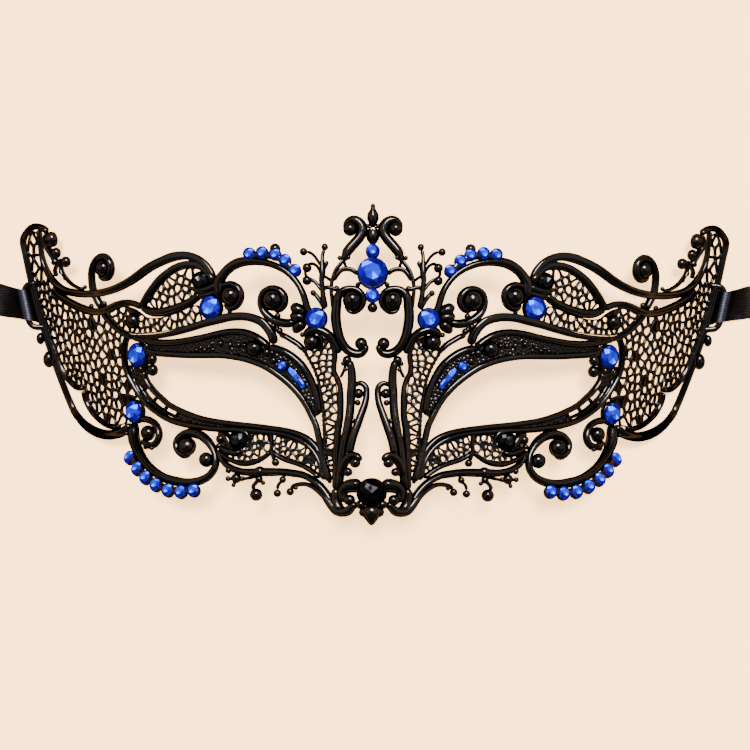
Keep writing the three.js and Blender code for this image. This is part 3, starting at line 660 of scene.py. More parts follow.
class Finish:
    """A material and the ways its nodes are made"""

    def __init__(self, name, **fixed):
        self.material = bpy.data.materials.new(name)
        self.material.use_nodes = True
        self.tree = self.material.node_tree
        self.shader = self.tree.nodes["Principled BSDF"]
        self.wear(**fixed)
        self.place = self.node("ShaderNodeTexCoord", output="Object")

    def node(self, kind, settings=None, values=None, output=0):
        """A node of a type, with its settings set first and then the values or links of its sockets"""
        made = self.tree.nodes.new(kind)
        for name, value in (settings or {}).items():
            if name == "stops":
                self.set_stops(made.color_ramp.elements, value)
            else:
                setattr(made, name, value)
        for name, value in (values or {}).items():
            self.feed(made.inputs[name], value)
        return Socket(self, made.outputs[output])

    def set_stops(self, elements, stops):
        """Sets the stops of a colour ramp, each a position and a colour"""
        while len(elements) < len(stops):
            elements.new(1.0)
        for element, (position, colour) in zip(elements, stops):
            element.position = position
            element.color = (*colour, 1.0)

    def feed(self, socket, value):
        if isinstance(value, Socket):
            self.tree.links.new(value.output, socket)
        elif socket.type == "RGBA":
            socket.default_value = (*value, 1.0)
        else:
            socket.default_value = value

    def maths(self, operation, a, b):
        return self.node("ShaderNodeMath", {"operation": operation}, {0: a, 1: b})

    def between(self, value, low, high):
        """A value brought from a range to between 0 and 1, and held there"""
        values = {"Value": value, "From Min": low, "From Max": high}
        return self.node("ShaderNodeMapRange", {"clamp": True}, values)

    def blend(self, factor, first, second):
        """One colour turning into another"""
        return self.node("ShaderNodeMix", {"data_type": "RGBA"}, {0: factor, 6: first, 7: second}, 2)

    def noise(self, grain, detail=2.0):
        """Noise with features of about the given size in millimetres"""
        values = {"Vector": self.place, "Scale": 1000.0 / grain, "Detail": detail}
        return self.node("ShaderNodeTexNoise", {}, values)

    def tone(self):
        """The tone of the face; on the stones it holds painted highlight and shade, on the ribbon a painted
        sheen
        """
        return self.node("ShaderNodeAttribute", {"attribute_name": "tone"}, output="Fac")

    def bump(self, height, depth, strength):
        """Relief of a depth in millimetres"""
        values = {"Height": height, "Distance": depth / 1000, "Strength": strength}
        return self.node("ShaderNodeBump", {}, values)

    def wear(self, **looks):
        """Sets or links what the shader shows, and gives the material"""
        for words, value in looks.items():
            self.feed(self.shader.inputs[words.replace("_", " ").title().replace("Ior", "IOR")], value)
        return self.material


NO_TINT = (0.0, 0.0, 0.0)


def lacquer_finish(colours):
    """Black enamel over a casting: a soft orange-peel skin, with duller, browner worn places"""
    finish = Finish("enamel", metallic=1.0, specular_tint=NO_TINT)
    broad = finish.noise(9.0)
    fine = finish.noise(0.7, 4.0)
    worn = finish.between(broad * 0.6 + fine * 0.5, 0.52, 0.72)
    skin = finish.noise(0.35, 1.0) * 0.4 + finish.noise(1.6, 2.0)
    return finish.wear(
        base_color=finish.blend(worn, colours.lacquer, colours.lacquer_worn),
        roughness=worn * 0.16 + fine * 0.06 + 0.07,
        normal=finish.bump(skin, 0.03, 0.6),
    )


def stone_finish(name, stops, metallic):
    """A foil-backed cut stone: each facet has its own tone, partly random and partly painted highlight and
    shade, with faint clouds and polishing marks
    """
    finish = Finish(name, metallic=metallic, specular_tint=NO_TINT, specular_ior_level=0.0)
    cloud = finish.noise(1.3, 3.0)
    tone = finish.tone() + cloud * 0.24 - 0.12
    return finish.wear(
        base_color=finish.node("ShaderNodeValToRGB", {"stops": stops}, {"Fac": tone}),
        roughness=cloud * 0.1 + 0.02,
        normal=finish.bump(finish.noise(0.5, 1.0), 0.01, 0.3),
    )


def blue_finish(colours):
    # The ramp goes from painted shade through the stones' own blue to painted highlights and a painted glint
    # on the brightest facets
    stops = [(0.0, colours.stone_painted_shade), (0.35, colours.stone), (0.68, colours.stone_painted_light)]
    return stone_finish("blue_crystal", stops + [(0.95, colours.stone_painted_glint)], 0.0)


def black_finish(_):
    """Black crystal: its facets are painted darker or lighter, with a painted white glint on the brightest
    ones
    """
    # Painted shade up to a painted highlight, ending in a painted white glint
    stops = [(0.0, (0.002, 0.002, 0.003)), (0.62, (0.006, 0.006, 0.008)), (0.8, (0.03, 0.03, 0.036))]
    return stone_finish("black_crystal", stops + [(0.97, (0.8, 0.8, 0.9))], 1.0)


def satin_finish(colours):
    """Black satin: fine ribs across the ribbon, a soft sheen, lighter places worn at random and a painted
    sheen along the crest of the fold
    """
    finish = Finish("satin_weave", metallic=1.0, specular_tint=NO_TINT)
    rib_turns = 15000.0  # radians in a metre
    along = finish.node("ShaderNodeSeparateXYZ", {}, {0: finish.place}, "Y")
    ribs = finish.maths("SINE", along * rib_turns, 0.0)
    threads = finish.noise(0.25, 1.0)
    broad = finish.noise(6.0)
    rubbed_and_sheen = finish.between(broad + threads * 0.2, 0.6, 0.95) * 0.15
    # Painted sheen: the crest of the fold is painted lighter along its threads and ribs
    rubbed_and_sheen = rubbed_and_sheen + finish.tone() * (threads * 1.2 + ribs * 0.25)
    return finish.wear(
        base_color=finish.blend(rubbed_and_sheen, colours.ribbon, colours.ribbon_rubbed_and_sheen),
        roughness=threads * 0.14 + rubbed_and_sheen * 0.1 + 0.28,
        normal=finish.bump(ribs * 0.5 + threads, 0.06, 0.6),
    )


def floor_finish(colours):
    """A pale, matt floor with a faint mottle"""
    finish = Finish("pale_floor", specular_ior_level=0.1, roughness=0.9)
    cloud = finish.between(finish.noise(160.0, 1.0), 0.3, 0.7)
    return finish.wear(
        base_color=finish.blend(cloud, colours.floor, [part * 0.985 for part in colours.floor]),
        normal=finish.bump(finish.noise(2.0, 2.0), 0.02, 0.2),
    )


# The stage: the mask's middle, the lamps round it and the camera over it, in metres

AIM = Vector((0.00052, -0.002685, 0.0276))
CAMERA_DISTANCE = 0.725
CAMERA_TURN = math.radians(0.4)
CAMERA_ROLL = math.radians(0.2)
LENS = 134.4
SENSOR_WIDTH = 36.0
FLOOR_REACH = 3.0
WORLD_TINT = (1.0, 0.93, 0.86, 1.0)
WORLD_STRENGTH = 0.38
# Each lamp's bearing and lean from straight above, spread, strength and tint, and whether it casts shadows
# and shows in the lacquer
LAMPS = (
    ("key", (5.0, 38.0), 24.0, 15.0, (1.0, 0.97, 0.92), False, True),
    ("side", (68.0, 50.0), 60.0, 1.1, (1.0, 0.96, 0.9), True, True),
    ("back", (-70.0, 50.0), 60.0, 1.1, (1.0, 0.95, 0.88), True, True),
    ("soft", (0.0, 6.5), 6.0, 11.5, (1.0, 0.97, 0.92), True, False),
)


# The half pattern

def rows_of(text):
    """Rows of numbers with commas between them; a third number holds for the rows after it too"""
    rows, held = [], []
    for row in text.split(","):
        numbers = [float(number) for number in row.split()]
        held = numbers[2:] or held
        rows.append((*numbers[:2], *held))
    return rows


class Pattern:
    """The bars, balls and nets that motifs draw

    Each statement of a motif says what it draws: a bar, a band, a bar with beads on it, balls, or a net with
    its spacing and, where it has its own, its share of open cells. Then come its rows: u, the distance from
    the middle line, v, the height, and a width or radius.
    """

    def __init__(self, *motifs):
        self.bars = []
        self.balls = []
        self.nets = []
        for statement in ";".join(motifs).split(";"):
            words, rows = statement.split(":")
            kind, *settings = words.split()
            draw = getattr(self, "draw_" + kind)
            draw(rows_of(rows), *(float(setting) for setting in settings))

    def draw_bar(self, rows, flat=False):
        self.bars.append((rows, flat))

    def draw_band(self, rows):
        """A bar that is flat on top"""
        self.draw_bar(rows, flat=True)

    def draw_beaded(self, rows):
        """A thin bar with a row of beads on it"""
        self.draw_bar(rows)
        line = spline(rows)
        run = lengths(line)
        for place in np.arange(BEAD_START, run[-1], BEAD_SPACING):
            u, v = (np.interp(place, run, column) for column in line.T[:2])
            self.balls.append((u, v, BEAD_RADIUS))

    def draw_balls(self, rows):
        self.balls += rows

    def draw_net(self, rows, spacing, open_share=None):
        """A net, or a pebbled floor where the share of open cells is small"""
        self.nets.append((rows, spacing, open_share))


RIM = ", ".join(f"{half_width(v)} {v}" for v in range(31, -10, -4))
MOTIFS = {
    "wing": f"""
bar: 81.6 33.2 1.7, 82.9 34.1, 85.2 34.5, 86.8 33.2, {RIM}, 74.9 -11.5 1.8, 73.2 -14 2, 71.5 -15.6 2.3,
69.6 -16.7 2.4, 67.6 -17.3, 65.6 -17.5, 62.4 -16.7, 60.4 -15 2.2;
bar: 85.3 21 1.3, 84 16, 82.6 11, 81 6.5, 79.4 2.5, 77.9 -1.2, 76.1 -4, 74 -5.8, 72.5 -5.9;
bar: 72.4 -6.5 1.3, 72.1 -8.3, 71.3 -10.2, 70.1 -12.2, 68.6 -13.8, 66.8 -15.1, 64.9 -15.6, 63.2 -15.4;
band: 83.8 33.7 1, 83.4 30, 83 27 1.1, 82.2 24.5 1.2, 80.9 22 1.5, 79.2 20 1.6, 77.2 18.6 1.8,
74.2 17.9 1.9, 71.2 17.7, 68.1 18 2, 65 18.8, 61.9 20.2 2.1, 59.9 21.4 2.2, 55.9 24.3 2.3, 53.9 25.4,
51.9 26.3, 50 27 2.4, 47 27.4 2.2, 44.6 26.9 2, 42.4 25.6 1.9, 40.8 23.8 1.8, 39.8 21.8;
band: 80 19.2 1.5, 78.2 17.2 1.8, 76.3 15.8 1.9, 74.2 14.7, 72.2 13.9, 70.2 13.3, 68.1 13.3, 66.1 14 1.8,
64 15, 61.9 15.5, 60.2 15.4 1.6, 58.7 14.9 1.5, 57.7 14.3;
bar: 67.9 14.2 2, 69 16.2, 70 18.5, 70.4 21 1.9, 70.4 23.5, 69.7 25.7 1.8, 68.4 27, 66.9 26.9 1.7,
65.8 25.6, 65.6 23.5 2, 66.2 22.1 1.9, 67.5 21.7 1.8, 68.5 22.6 1.6;
bar: 81.6 33 1.6, 82 31.6, 81.8 29.6, 81 28.2, 80 26.6, 79.2 25;
bar: 77.8 25.8 0.8, 78.3 24.5, 77.8 22.8, 76.7 21.2, 75.3 19.9, 73.7 19.1, 72.5 19;
bar: 78.7 26 0.8, 79.4 24.8, 79.8 23.5, 79.4 22;
bar: 78.8 26.2 0.8, 77.6 25.8;
balls: 72.2 -5.4 0.6, 67.5 24.1 2.2, 70.5 14.6 0.7, 67.3 15.2 0.8, 80.5 31.3 2, 79.4 27.9 1.4, 76.9 25.7,
80.1 25.5 0.7, 72.1 19.4 0.6, 78.3 23.2, 77.2 21.6""",
    "upper_leaf": """
band: 57.8 14.4 1.8, 57.1 15.6, 56.2 17.3, 54.8 19.4, 53.2 21.4, 51.2 23.1, 49 24.5, 46.5 25.2, 44 25,
42 23.9, 40.7 22.2;
bar: 57.8 14.6 1.9, 55.9 13.4 2.2, 53.9 13.1 2.3, 50 13.9 2.4, 46 15.6 2.3, 43 17.8 2;
bar: 45.4 19.2 1.1, 43 18.7 2.2, 40.5 19.2 2.6, 38.9 20.2 1.7;
bar: 42 23.6 1.4, 40.5 22.2 2.4, 39.5 20.6 2.2;
bar: 44.6 17.6 1.1, 42.4 17.4 2, 39.9 18 2.2, 38.3 18.6 1.4;
band: 67.6 12.8 1.2, 66.1 11, 64 8.9, 61.9 7.5, 59.9 6.9 1.3, 56.9 6.9 1.4, 53.9 7.2, 50 7.9 1.5,
46 9.1 1.8, 42 10.4 2, 39.9 11 2.2, 37.9 11.5, 35.9 12, 33.9 12.2, 31.9 12.2, 29.9 11.8, 27.8 10.9,
26.1 9.2, 25 7.3, 24.5 5.3;
balls: 59.9 11 2, 41.4 19 1, 39.5 20.2, 40.1 18.3 0.9, 38.8 18.2 0.8, 41.8 22.6, 38.7 21.8, 47 25.3 0.6,
45.6 25.9, 44.2 25.9, 42.9 25.2""",
    "brow": """
bar: 59.9 6.9 1.8, 57.4 6.2, 53.9 5.6, 50 5.6, 46 6.2, 42 7, 37.9 8, 34.9 8.4, 31.9 8.2, 29.4 7.3,
27.3 5.9, 25.8 4.5;
band: 57.5 4.6 1.5, 55.9 3.4, 53.9 2.9, 50 2.6, 46 2.4, 42 2.4, 37.9 2.4, 34.9 2.1, 31.9 1.5, 29.9 0.9,
26.8 -0.4, 23.8 -2.3, 20.7 -4.8, 18.1 -7.6, 16.5 -10, 15.2 -12.5, 14 -15, 13.4 -17.5, 12.8 -20, 12.2 -23,
11.4 -26, 10.5 -29;
bar: 25.8 4.6 1.9, 23.8 4.1, 21.7 3.3, 19.7 2, 17.8 0.3, 16.4 -1.7, 15.2 -4, 14.2 -6.5, 13.6 -9, 13.2 -12;
balls: 38 5.4 0.9, 35.6 5.1 0.8, 33.5 5, 32 5 0.7, 29.5 4.2 2.1, 26.4 3.2 1.1, 25.1 3.1 0.8, 24.7 1.2 1,
44 3.7 0.6, 43 4.3, 42 3.8, 41 4.5, 39.9 3.9, 40.2 5.4""",
    "eye": """
bar: 57.2 -1.5 1.5, 56.8 -3.5, 55.2 -6, 53 -8.2, 50.9 -10, 48 -11.5, 45 -12.7, 42 -13.6, 37.9 -14.3,
33.9 -14.8, 29.9 -15.2, 25.8 -15.7, 21.7 -16.3, 18.6 -17.1, 16.1 -18.3, 14.6 -19.6, 13.6 -20.8, 13 -22.5,
12.4 -25;
bar: 60.9 7.6 1.6, 61.8 6.2, 62.2 3, 62 0, 61.2 -2.5, 59.9 -5, 58.3 -7.5, 56.2 -10, 53.7 -12, 51.3 -13.5,
48.9 -14.4, 46.5 -15, 44 -15.4, 39.9 -15.9, 35.9 -16.1, 31.9 -16.2, 27.8 -16.5, 23.8 -16.9, 19.7 -17.9,
16.6 -19.5, 14.6 -21.4, 13.2 -23.8, 12.5 -26.4, 11.8 -28.6;
bar: 56.3 5.6 1.8, 56.5 3.4, 56.8 1, 57.2 -2;
bar: 59.7 -3.2 0.8, 58.8 -5.6, 57.4 -7.6, 55.7 -9.3;
balls: 55.2 1.4 1.4, 55 -1.3 1.5, 57.3 0.2 1.1""",
    "lower_loop": """
bar: 59.6 -14.5 2.9, 59.7 -16.5 3.2, 59.6 -18.5 3.4, 59.1 -20.5 3, 58 -22.8 2.6, 56.4 -25 2.3, 54.1 -27,
51.8 -28.3, 48.9 -29.1 2.4, 46 -29.4 2.2, 43 -28.9, 40.7 -27.6 2, 39.3 -25.5 1.9, 39.1 -23 1.8,
39.8 -21 2, 41.2 -19 2.3, 43 -17.6 2.4, 45.5 -17, 47.5 -17.6 2.2, 48.8 -19.3, 48.7 -21.2 2,
47.2 -22.5 1.8, 45.6 -22.2 1.4;
band: 60.3 -23.2 1.8, 58.4 -26, 56.3 -28.2, 53.8 -29.9, 50.8 -31.2, 47.7 -31.6, 44.5 -31.2;
bar: 58.1 -13.6 1.8, 56.8 -13.6, 55.6 -14, 54.2 -15, 53.4 -16.8, 53.6 -18.6, 54.6 -19.9, 56.4 -20,
57.5 -18.8;
balls: 46.2 -20.4 2.4, 41.4 -23.7 1.9, 56 -17.1 2, 56.8 -20.6 0.6, 55.2 -20.8, 61.6 -17.2""",
    "lower_leaves": """
bar: 38.5 -21.5 1.4, 37.8 -23.3 1.6, 36.4 -25 1.7, 34.4 -26.1 1.8, 31.9 -26.7 1.9, 28 -26.7 2.2,
25.8 -26.7, 21.7 -26.7 2, 19.7 -27, 17.6 -27.3 1.9, 15.6 -28.2 1.8, 13.8 -29.3, 12.2 -30.8 1.7,
10.9 -32.5, 10 -34.3;
bar: 38.8 -21.3 1.3, 37.3 -22.6, 35.9 -23.5, 34.2 -24.2, 32.9 -24.6, 30.9 -24.6, 28.8 -24, 26.8 -22.8,
25.4 -21.6;
bar: 25.2 -21.3 1.4, 23.8 -22.5, 21.7 -23.6, 19.2 -24.4, 17.1 -25.2, 15.1 -26.4, 13 -28;
bar: 25.2 -16.5 1, 25.1 -19, 25.2 -21.5, 24.4 -23.8;
bar: 38.5 -17 1.2, 36.7 -17.8 2.3, 35.5 -19.6 2.2, 34.9 -21.8 1.1;
bar: 38.3 -20.4 1.1, 36.5 -21.4 1.8, 34.3 -22 1.7, 32.7 -21.6 1;
bar: 35.3 -16 1.1, 33.5 -16.2 1.8, 31.3 -17 1.4, 30.5 -18.6 1;
bar: 36 -28.4 0.8, 33.9 -28.3, 32.2 -28.4, 29.9 -28, 28.3 -27.5;
bar: 34.3 -28.8 0.8, 34.6 -30;
bar: 28 -27.4 1, 28.8 -29, 29.7 -30.2, 29.6 -31.2;
bar: 21.9 -27.4 0.8, 22.3 -28.6, 23.4 -29.8, 23.7 -31;
bar: 20.2 -31 1, 19.7 -30.2 1.1, 18.1 -29.7 1.2, 16.6 -29.7, 15.1 -30.2 1.3, 13.6 -31.2 1.4, 12 -32.4 1.9,
10.8 -33.8 2.3, 9.8 -35.2 2.5, 8.6 -36.3 2.6, 7.2 -36.6, 5.9 -36.3 2.4, 4.8 -35.2 2, 3.7 -34.3 1.8;
balls: 37.9 -18.5 1.2, 36.3 -17.6 0.8, 38.3 -20.2, 28 -26.6 1.4, 24.1 -24.3 1, 33.9 -28.3 1.3,
36 -28.4 0.7, 32.5 -28.4, 34.6 -30 0.6, 35.9 -26.3 0.8, 28.2 -28.5 1, 27.2 -29.4 0.6, 28.9 -32.4 1.6,
22.3 -28.6 0.9, 23.6 -32 1, 20.4 -31.6, 19 -30.6 0.6""",
    "gem_arc": """
bar: 37.8 16.6 2.4, 38.4 18.6 2.9, 38.5 20.6 3.1, 37.5 22.6 2.6, 35.8 24.4, 33.4 25.7, 30.4 26.1 2.3,
27.3 25.8 1.9, 24.5 25 1.8, 21.8 23.6 1.7, 19.7 21.7, 18.1 19.4, 17.1 17 1.8, 16.4 14.5, 15.6 12.8;
bar: 38.8 19.6 1.7, 37.4 20, 35.4 20.3, 33.5 19.2, 32.9 17.2, 33.7 15.2, 35.4 14.3, 36.9 14.9;
bar: 38.9 19 1.1, 38.5 17.6, 37.6 16.6, 36.9 15.6;
bar: 37.1 15.2 1.1, 35.9 14.2, 35.7 13.2, 35.5 12.4;
bar: 19.2 11 2, 21.2 10.5 2.3, 23.8 10.9, 25.8 12 2.2, 27.4 13.8 2, 28 16 1.9, 27.4 18.1 1.8,
25.6 19.2 1.7, 23.6 18.9 1.9, 22.2 17.4 2, 22.1 15.4 1.9, 23.2 14.1 1.8, 24.7 13.8 1.6;
bar: 16.6 12.9 1.9, 18.2 13.8 3.1, 19.6 14.4 2.9, 20.6 14.6 1.4;
bar: 16.6 11.8 2.4, 18.9 12.2 3.1, 20.7 12.5 1.7;
bar: 16.6 10.6 2.2, 18.2 10 3, 19.1 8.9 2.4, 19.5 8 1.3;
band: 30.6 27.2 1.8, 27.5 27.5, 24.2 27.1, 21.7 25.6, 19.3 23.2;
bar: 26 12.4 1.4, 27 11;
bar: 19.5 12.6 1.7, 17.2 12.2;
balls: 35.4 17.3 2.6, 24.9 16.3 2.8, 23.7 12.4 0.8, 20.3 11, 18.9 13.2 0.7, 19 11.2, 17.5 7.7,
24.4 29.1 1.4""",
    "sprig": """
bar: 11.8 14.3 1.6, 12.4 17.5 1.4, 12.6 19.5 1.3, 12.8 21.5 1.4, 12.6 23 1.6, 12.6 24.5 1.7, 12.6 26 1.1,
12.6 27.5 1, 12.2 29;
bar: 12.8 24.8 0.8, 13.6 26, 14.4 27.2, 15.4 28.1, 16.4 28.5;
bar: 12.4 24 1, 11.6 25.4, 11.4 26.2;
bar: 12.8 22.4 0.8, 13.4 24, 14.2 25.1, 15.4 25.5, 16.2 25;
bar: 16.5 24 0.8, 16.9 23.3, 16.7 22.5, 16.4 21.5;
bar: 16 21.6 1, 15.4 21.5, 14.4 20.9, 13.6 20, 12.8 18.8;
bar: 14.7 18 1.2, 14.2 17.6, 13.4 16.6, 12.6 15.3, 12 14;
bar: 12.6 22.7 0.8, 11 21.7, 10.2 21.1;
bar: 12.6 19 1.1, 11.4 19.6, 9.9 19.2, 8.6 19;
bar: 7.2 26.6 1, 8.2 25.3, 9.1 24.2, 9.8 22.6, 10.2 21, 10.4 19, 10.2 17, 10 15, 9.6 13;
bar: 9.8 21.3 1.2, 8.9 22.8, 7.8 23.9, 6.4 24.2, 5 23.9, 3.7 22.9;
bar: 7.2 26.2 0.8, 6.9 25.2, 6.5 24.4;
bar: 3.3 20.9 1.3, 4 19.6;
balls: 12 29.6 0.9, 17.3 28.4 1, 16.4 24.4 1.2, 16.4 21.2, 14.8 18.1 0.8, 9 19.2, 8.3 26.9 0.6""",
    "crown": """
bar: 6.9 34.1 1.4, 6.5 35.6 1.8, 5.4 36.4 2.2, 4.1 36.2 2.6, 3 35.2 2.8, 2.6 33.8, 3.3 32.2 2.6, 5 30.2,
6.4 28.5 2.5, 7 27.1 2, 7.7 26.2 1.2;
balls: 5.7 34.1 1.8, 6.1 27 0.6, 1.8 33.3 0.7, 1.3 34.9 0.6""",
    "bridge": """
bar: 6.8 15 1, 5.8 13.6 1.1, 4.4 13.4 1.3, 2.8 14.6 1.4, 2.2 16.5 1.6, 3.1 18.4 1.7, 5 19.2 1.8,
7.2 18.8 2, 8.6 17.3 2.3, 9 15 2.5, 9.2 12.5 2.6, 9 10, 8.5 7.8 2.5, 7.6 5.6 2.4, 6.2 3.9, 4.4 3,
2.8 3.1 2.2, 1.8 4.2 1.9, 1.6 5.4 1.6;
bar: 16.9 6.9 1.4, 16.1 8.3 2.2, 14.3 9 2.4, 12.3 8.5, 10.8 7.5 2.2, 9.7 6 2, 8.9 4.5, 8.3 3 1.9;
bar: 13.7 8 0.8, 12.7 6.6, 12.6 5.2, 13.3 3.9;
balls: 5 16.3 2.5, 2.8 5.5 1.6, 15.1 5.9 2.1""",
    "nose": """
beaded: 23.3 7.5 0.8, 21.7 7.2, 20.2 6.3, 18.6 5.3, 17.1 3.6, 15.8 1.5, 14.8 -0.3, 14 -2.2, 13.4 -4.3,
13 -6.5, 12.6 -9, 12.2 -12, 12 -15, 11.9 -18, 11.8 -21, 11.5 -24, 11 -27, 10.5 -29.5;
bar: 23.3 7.8 1.5, 21.7 7.2, 20.2 6.3, 18.6 5.3, 17.1 3.8;
bar: 11.3 7.4 1.3, 10.1 5.8, 9.5 4, 9.3 2, 9.6 0, 9.5 -1.8 1.4, 8.6 -3.5, 8 -5.5, 7.9 -8 1.6, 7.9 -10.5,
8 -13, 8.5 -16 1.7, 8.7 -19, 8.9 -22, 8.9 -25 1.8, 8.9 -28, 9 -31;
bar: 5.8 1.3 1.9, 5.3 -0.5 2, 5.1 -2.5 2.2, 5.1 -4.5 2.3, 5.3 -7, 5.4 -9.5 2.2, 5.6 -12, 6 -14.5,
6.5 -17 2, 7 -19.5 1.9, 7.4 -22, 7.7 -25, 8 -28, 8.2 -31 1.8;
bar: 6.6 0.6 0.8, 7.2 -1.5, 8 -3;
bar: 4.8 -5.3 1.1, 3.9 -4.6 1.2, 2.7 -4.4 1.4, 1.6 -5.3 1.6, 1.4 -7 1.7, 1.7 -9.2 1.8, 2.5 -11.5 1.9,
3.4 -14 2, 4.2 -16.2, 4.9 -18.3, 5.4 -20.5 1.9, 5.7 -22.3 1.8;
bar: 7.8 -28 2, 7.5 -26 2.2, 7 -24.5, 5.9 -23.1, 4.6 -22.4 1.9, 3.4 -22.8 1.7, 3.1 -24 1.6;
balls: 24.8 9.8 0.8, 23.8 9, 23.2 8.6 0.9, 6.3 1.3 1.2, 7.3 0.5 0.6, 6.8 -1, 3.4 -7 1.3, 4.8 -8.1 0.6,
3.6 -9.3 0.8, 4.7 -13.8 0.7, 6.5 -18 0.6, 5.5 -19.3, 4.1 -24.3 1.3, 5.9 -26.6 1.1""",
    "pendant": """
bar: 2.6 -29.9 2.4, 4.4 -29.6 2.8, 6.2 -30.1, 7.2 -31.5 2.6, 7 -33 2.3, 5.9 -33.8 1.9;
bar: 8.8 -30.6 2.3, 9 -33, 8.5 -35 2.4, 7.4 -36.4;
balls: 5.5 -33.6 1.4, 2.7 -34.7 1.2, 1.8 -36.6 1.3""",
    "nets": """
net 2.45: 86.6 31, 85.9 33.2, 84.4 33.8, 83.6 32, 83.6 28, 83.2 25, 81.9 22.5, 80.4 20.3, 78.9 17.6,
76.8 15.7, 74.2 14.2, 72.2 13.4, 70.2 12.9, 68.1 12.9, 66.6 11.5, 65 9.7, 63.5 8.4, 62.1 7, 62.3 4,
62.3 1, 61.7 -2, 60.4 -5, 59.1 -7.5, 60.2 -9.5, 61.6 -11, 61.6 -13, 62.1 -15, 64.7 -15.2, 67.3 -14.4,
69.2 -12.7, 70.8 -10.4, 71.8 -8, 72.2 -6.2, 74.2 -5.4, 76.6 -3, 78.2 -0.3, 79.6 3, 81 7, 82.4 11.5,
83.8 16, 85.2 19.5, 86.4 23, 87 27;
net 1.85: 56.2 15, 55.5 17, 54.1 19.2, 52.3 21.2, 50.2 22.9, 47.8 24.1, 45 24.4, 42.8 24.2, 41.2 23,
42 19, 43 17.5, 46 16.5, 50 14.5, 53.9 13.5;
net 1.85: 66.6 12.7, 64 14.3, 61.4 14.6, 58.9 13.5, 56.9 12, 53.9 11.8, 50 12.8, 46.5 14.5, 43.5 14.8,
43 12.2, 42.3 11.3, 45 10.3, 48 9.3, 51.9 8.3, 55.9 7.8, 59.9 7.7, 63 8.8, 65 10.8;
net 1.6: 17.1 4.8, 16.1 2, 15.1 0.2, 14.4 -1.5, 13.6 -3.5, 13 -6, 12.4 -9, 12 -12, 11.9 -16, 11.6 -20,
11.4 -24, 10.9 -27.5, 10.4 -28.5, 9.9 -28.5, 9.6 -27, 9.6 -24, 9.5 -21, 9.4 -18, 9 -15, 8.6 -12, 8.6 -9,
8.8 -6, 9.2 -3.5, 10 -1.5, 9.8 1, 10 4, 10.8 6.2, 12.4 7.3;
net 1.6 0.92: 37.7 -21, 37.4 -18.5, 35.4 -17, 31.9 -17, 27.8 -17.2, 25 -17.6, 25.1 -20.5, 26.3 -22,
28.3 -23.4, 30.9 -24, 33.4 -23.9, 35.4 -23.5, 36.9 -22.8;
net 1.5 0.92: 24.8 -20.5, 24.3 -17.8, 20.7 -18.3, 17.6 -19.7, 15.6 -21, 14.2 -23, 13 -25.5, 12.5 -27.2,
13.8 -27, 15.6 -25.8, 18.1 -24.3, 20.7 -23.4, 23.3 -22.2;
net 0.95 0.02: 57 5.9, 53.9 5.6, 47.7 5.8, 41.6 7, 34.5 8.4, 29.4 7.5, 25.3 4.5, 24.6 -1.4, 28.4 0.5,
33 1.7, 39 2.3, 45 2.5, 50.5 2.7, 56 3.2;
net 1.2 0.2: 47.7 -11.5, 41.6 -13.6, 33.5 -14.8, 25.3 -15.7, 19 -17, 16 -19.2, 21.3 -17.4, 27.4 -16.5,
35.5 -16.1, 43.6 -15.4, 49 -14.3;
net 1.2 0.3: 57.2 -1.5, 56.8 -3.5, 56 -5.4, 59.2 -7, 60.2 -5, 61.9 0;
bar: 58.4 -4.6 0.85, 56.6 -7.6, 54.4 -9.9, 51.8 -11.8, 48 -13.4;
bar: 56.5 -5.3 0.85, 58.1 -7.8;
bar: 54.1 -8.1 0.85, 55.7 -10.6;
bar: 51.3 -10.1 0.85, 52.9 -12.6;
bar: 48.3 -11.5 0.85, 49.9 -14;
net 1 0.05: 25.3 4.5, 21.3 3.3, 17.5 0.3, 14.9 -4, 13.3 -9, 13 -12, 14.6 -13.2, 15.2 -11.8, 17.2 -8.6,
19.4 -5.8, 21.6 -3.6, 24.6 -1.4""",
}

MIDDLE = """
bar: 0 34.6 2, 0 35.6 2.1, 0 36.5 2.9, 0 37.4 3.3, 0 38.2 2.6, 0 39 1.5, 0 40 1.1;
bar: 0 35 2, 0 34 2.6, 0 32.8 3.6, 0 32 3.7, 0 31.2 2.4, 0 30 0.9;
bar: 0 25.5 1.6, 0 27.5;
bar: 0 14.3 0.9, 0 20;
bar: 0 -34.4 2.4, 0 -35.6 4.2, 0 -37 4.8, 0 -38.6 3, 0 -40 0.8;
bar: -8.6 -31.6 1.2, -4 -31.2, 4 -31.2, 8.6 -31.6;
balls: 0 39.9 0.65, 0 14.5 1.3, 0 29.9 0.5"""
# Stones: name, u, v and radius; those of a pair lie on the right, and the others on the middle line
STONES = [
    ("slant_round", 22.5, -0.1, 1.25), ("temple", 58.5, 2.4, 2.9), ("cheek", 59.2, -11.75, 2.8),
    ("brow", 40.3, 14.4, 2.85), ("bridge", 14.0, 11.65, 2.6),
    ("arc_1", 30.8, 27.8, 1.55), ("arc_2", 27.6, 28.1, 1.55), ("arc_3", 24.4, 27.7, 1.55),
    ("arc_4", 21.9, 26.2, 1.55), ("arc_5", 19.4, 23.7, 1.55),
    ("loop_1", 60.5, -23.4, 1.6), ("loop_2", 58.6, -26.2, 1.6), ("loop_3", 56.5, -28.4, 1.6),
    ("loop_4", 53.9, -30.2, 1.6), ("loop_5", 50.9, -31.5, 1.6), ("loop_6", 47.7, -31.9, 1.6),
    ("loop_7", 44.5, -31.5, 1.6),
]
MIDDLE_STONES = [("crown_top", 0, 28.5, 1.7), ("crown_middle", 0, 23, 3.65), ("crown_lower", 0, 17.45, 1.75)]
JETS = [("leaf_jet", 42.8, 21, 2.2), ("under_eye_jet", 33.5, -18.8, 2.2)]
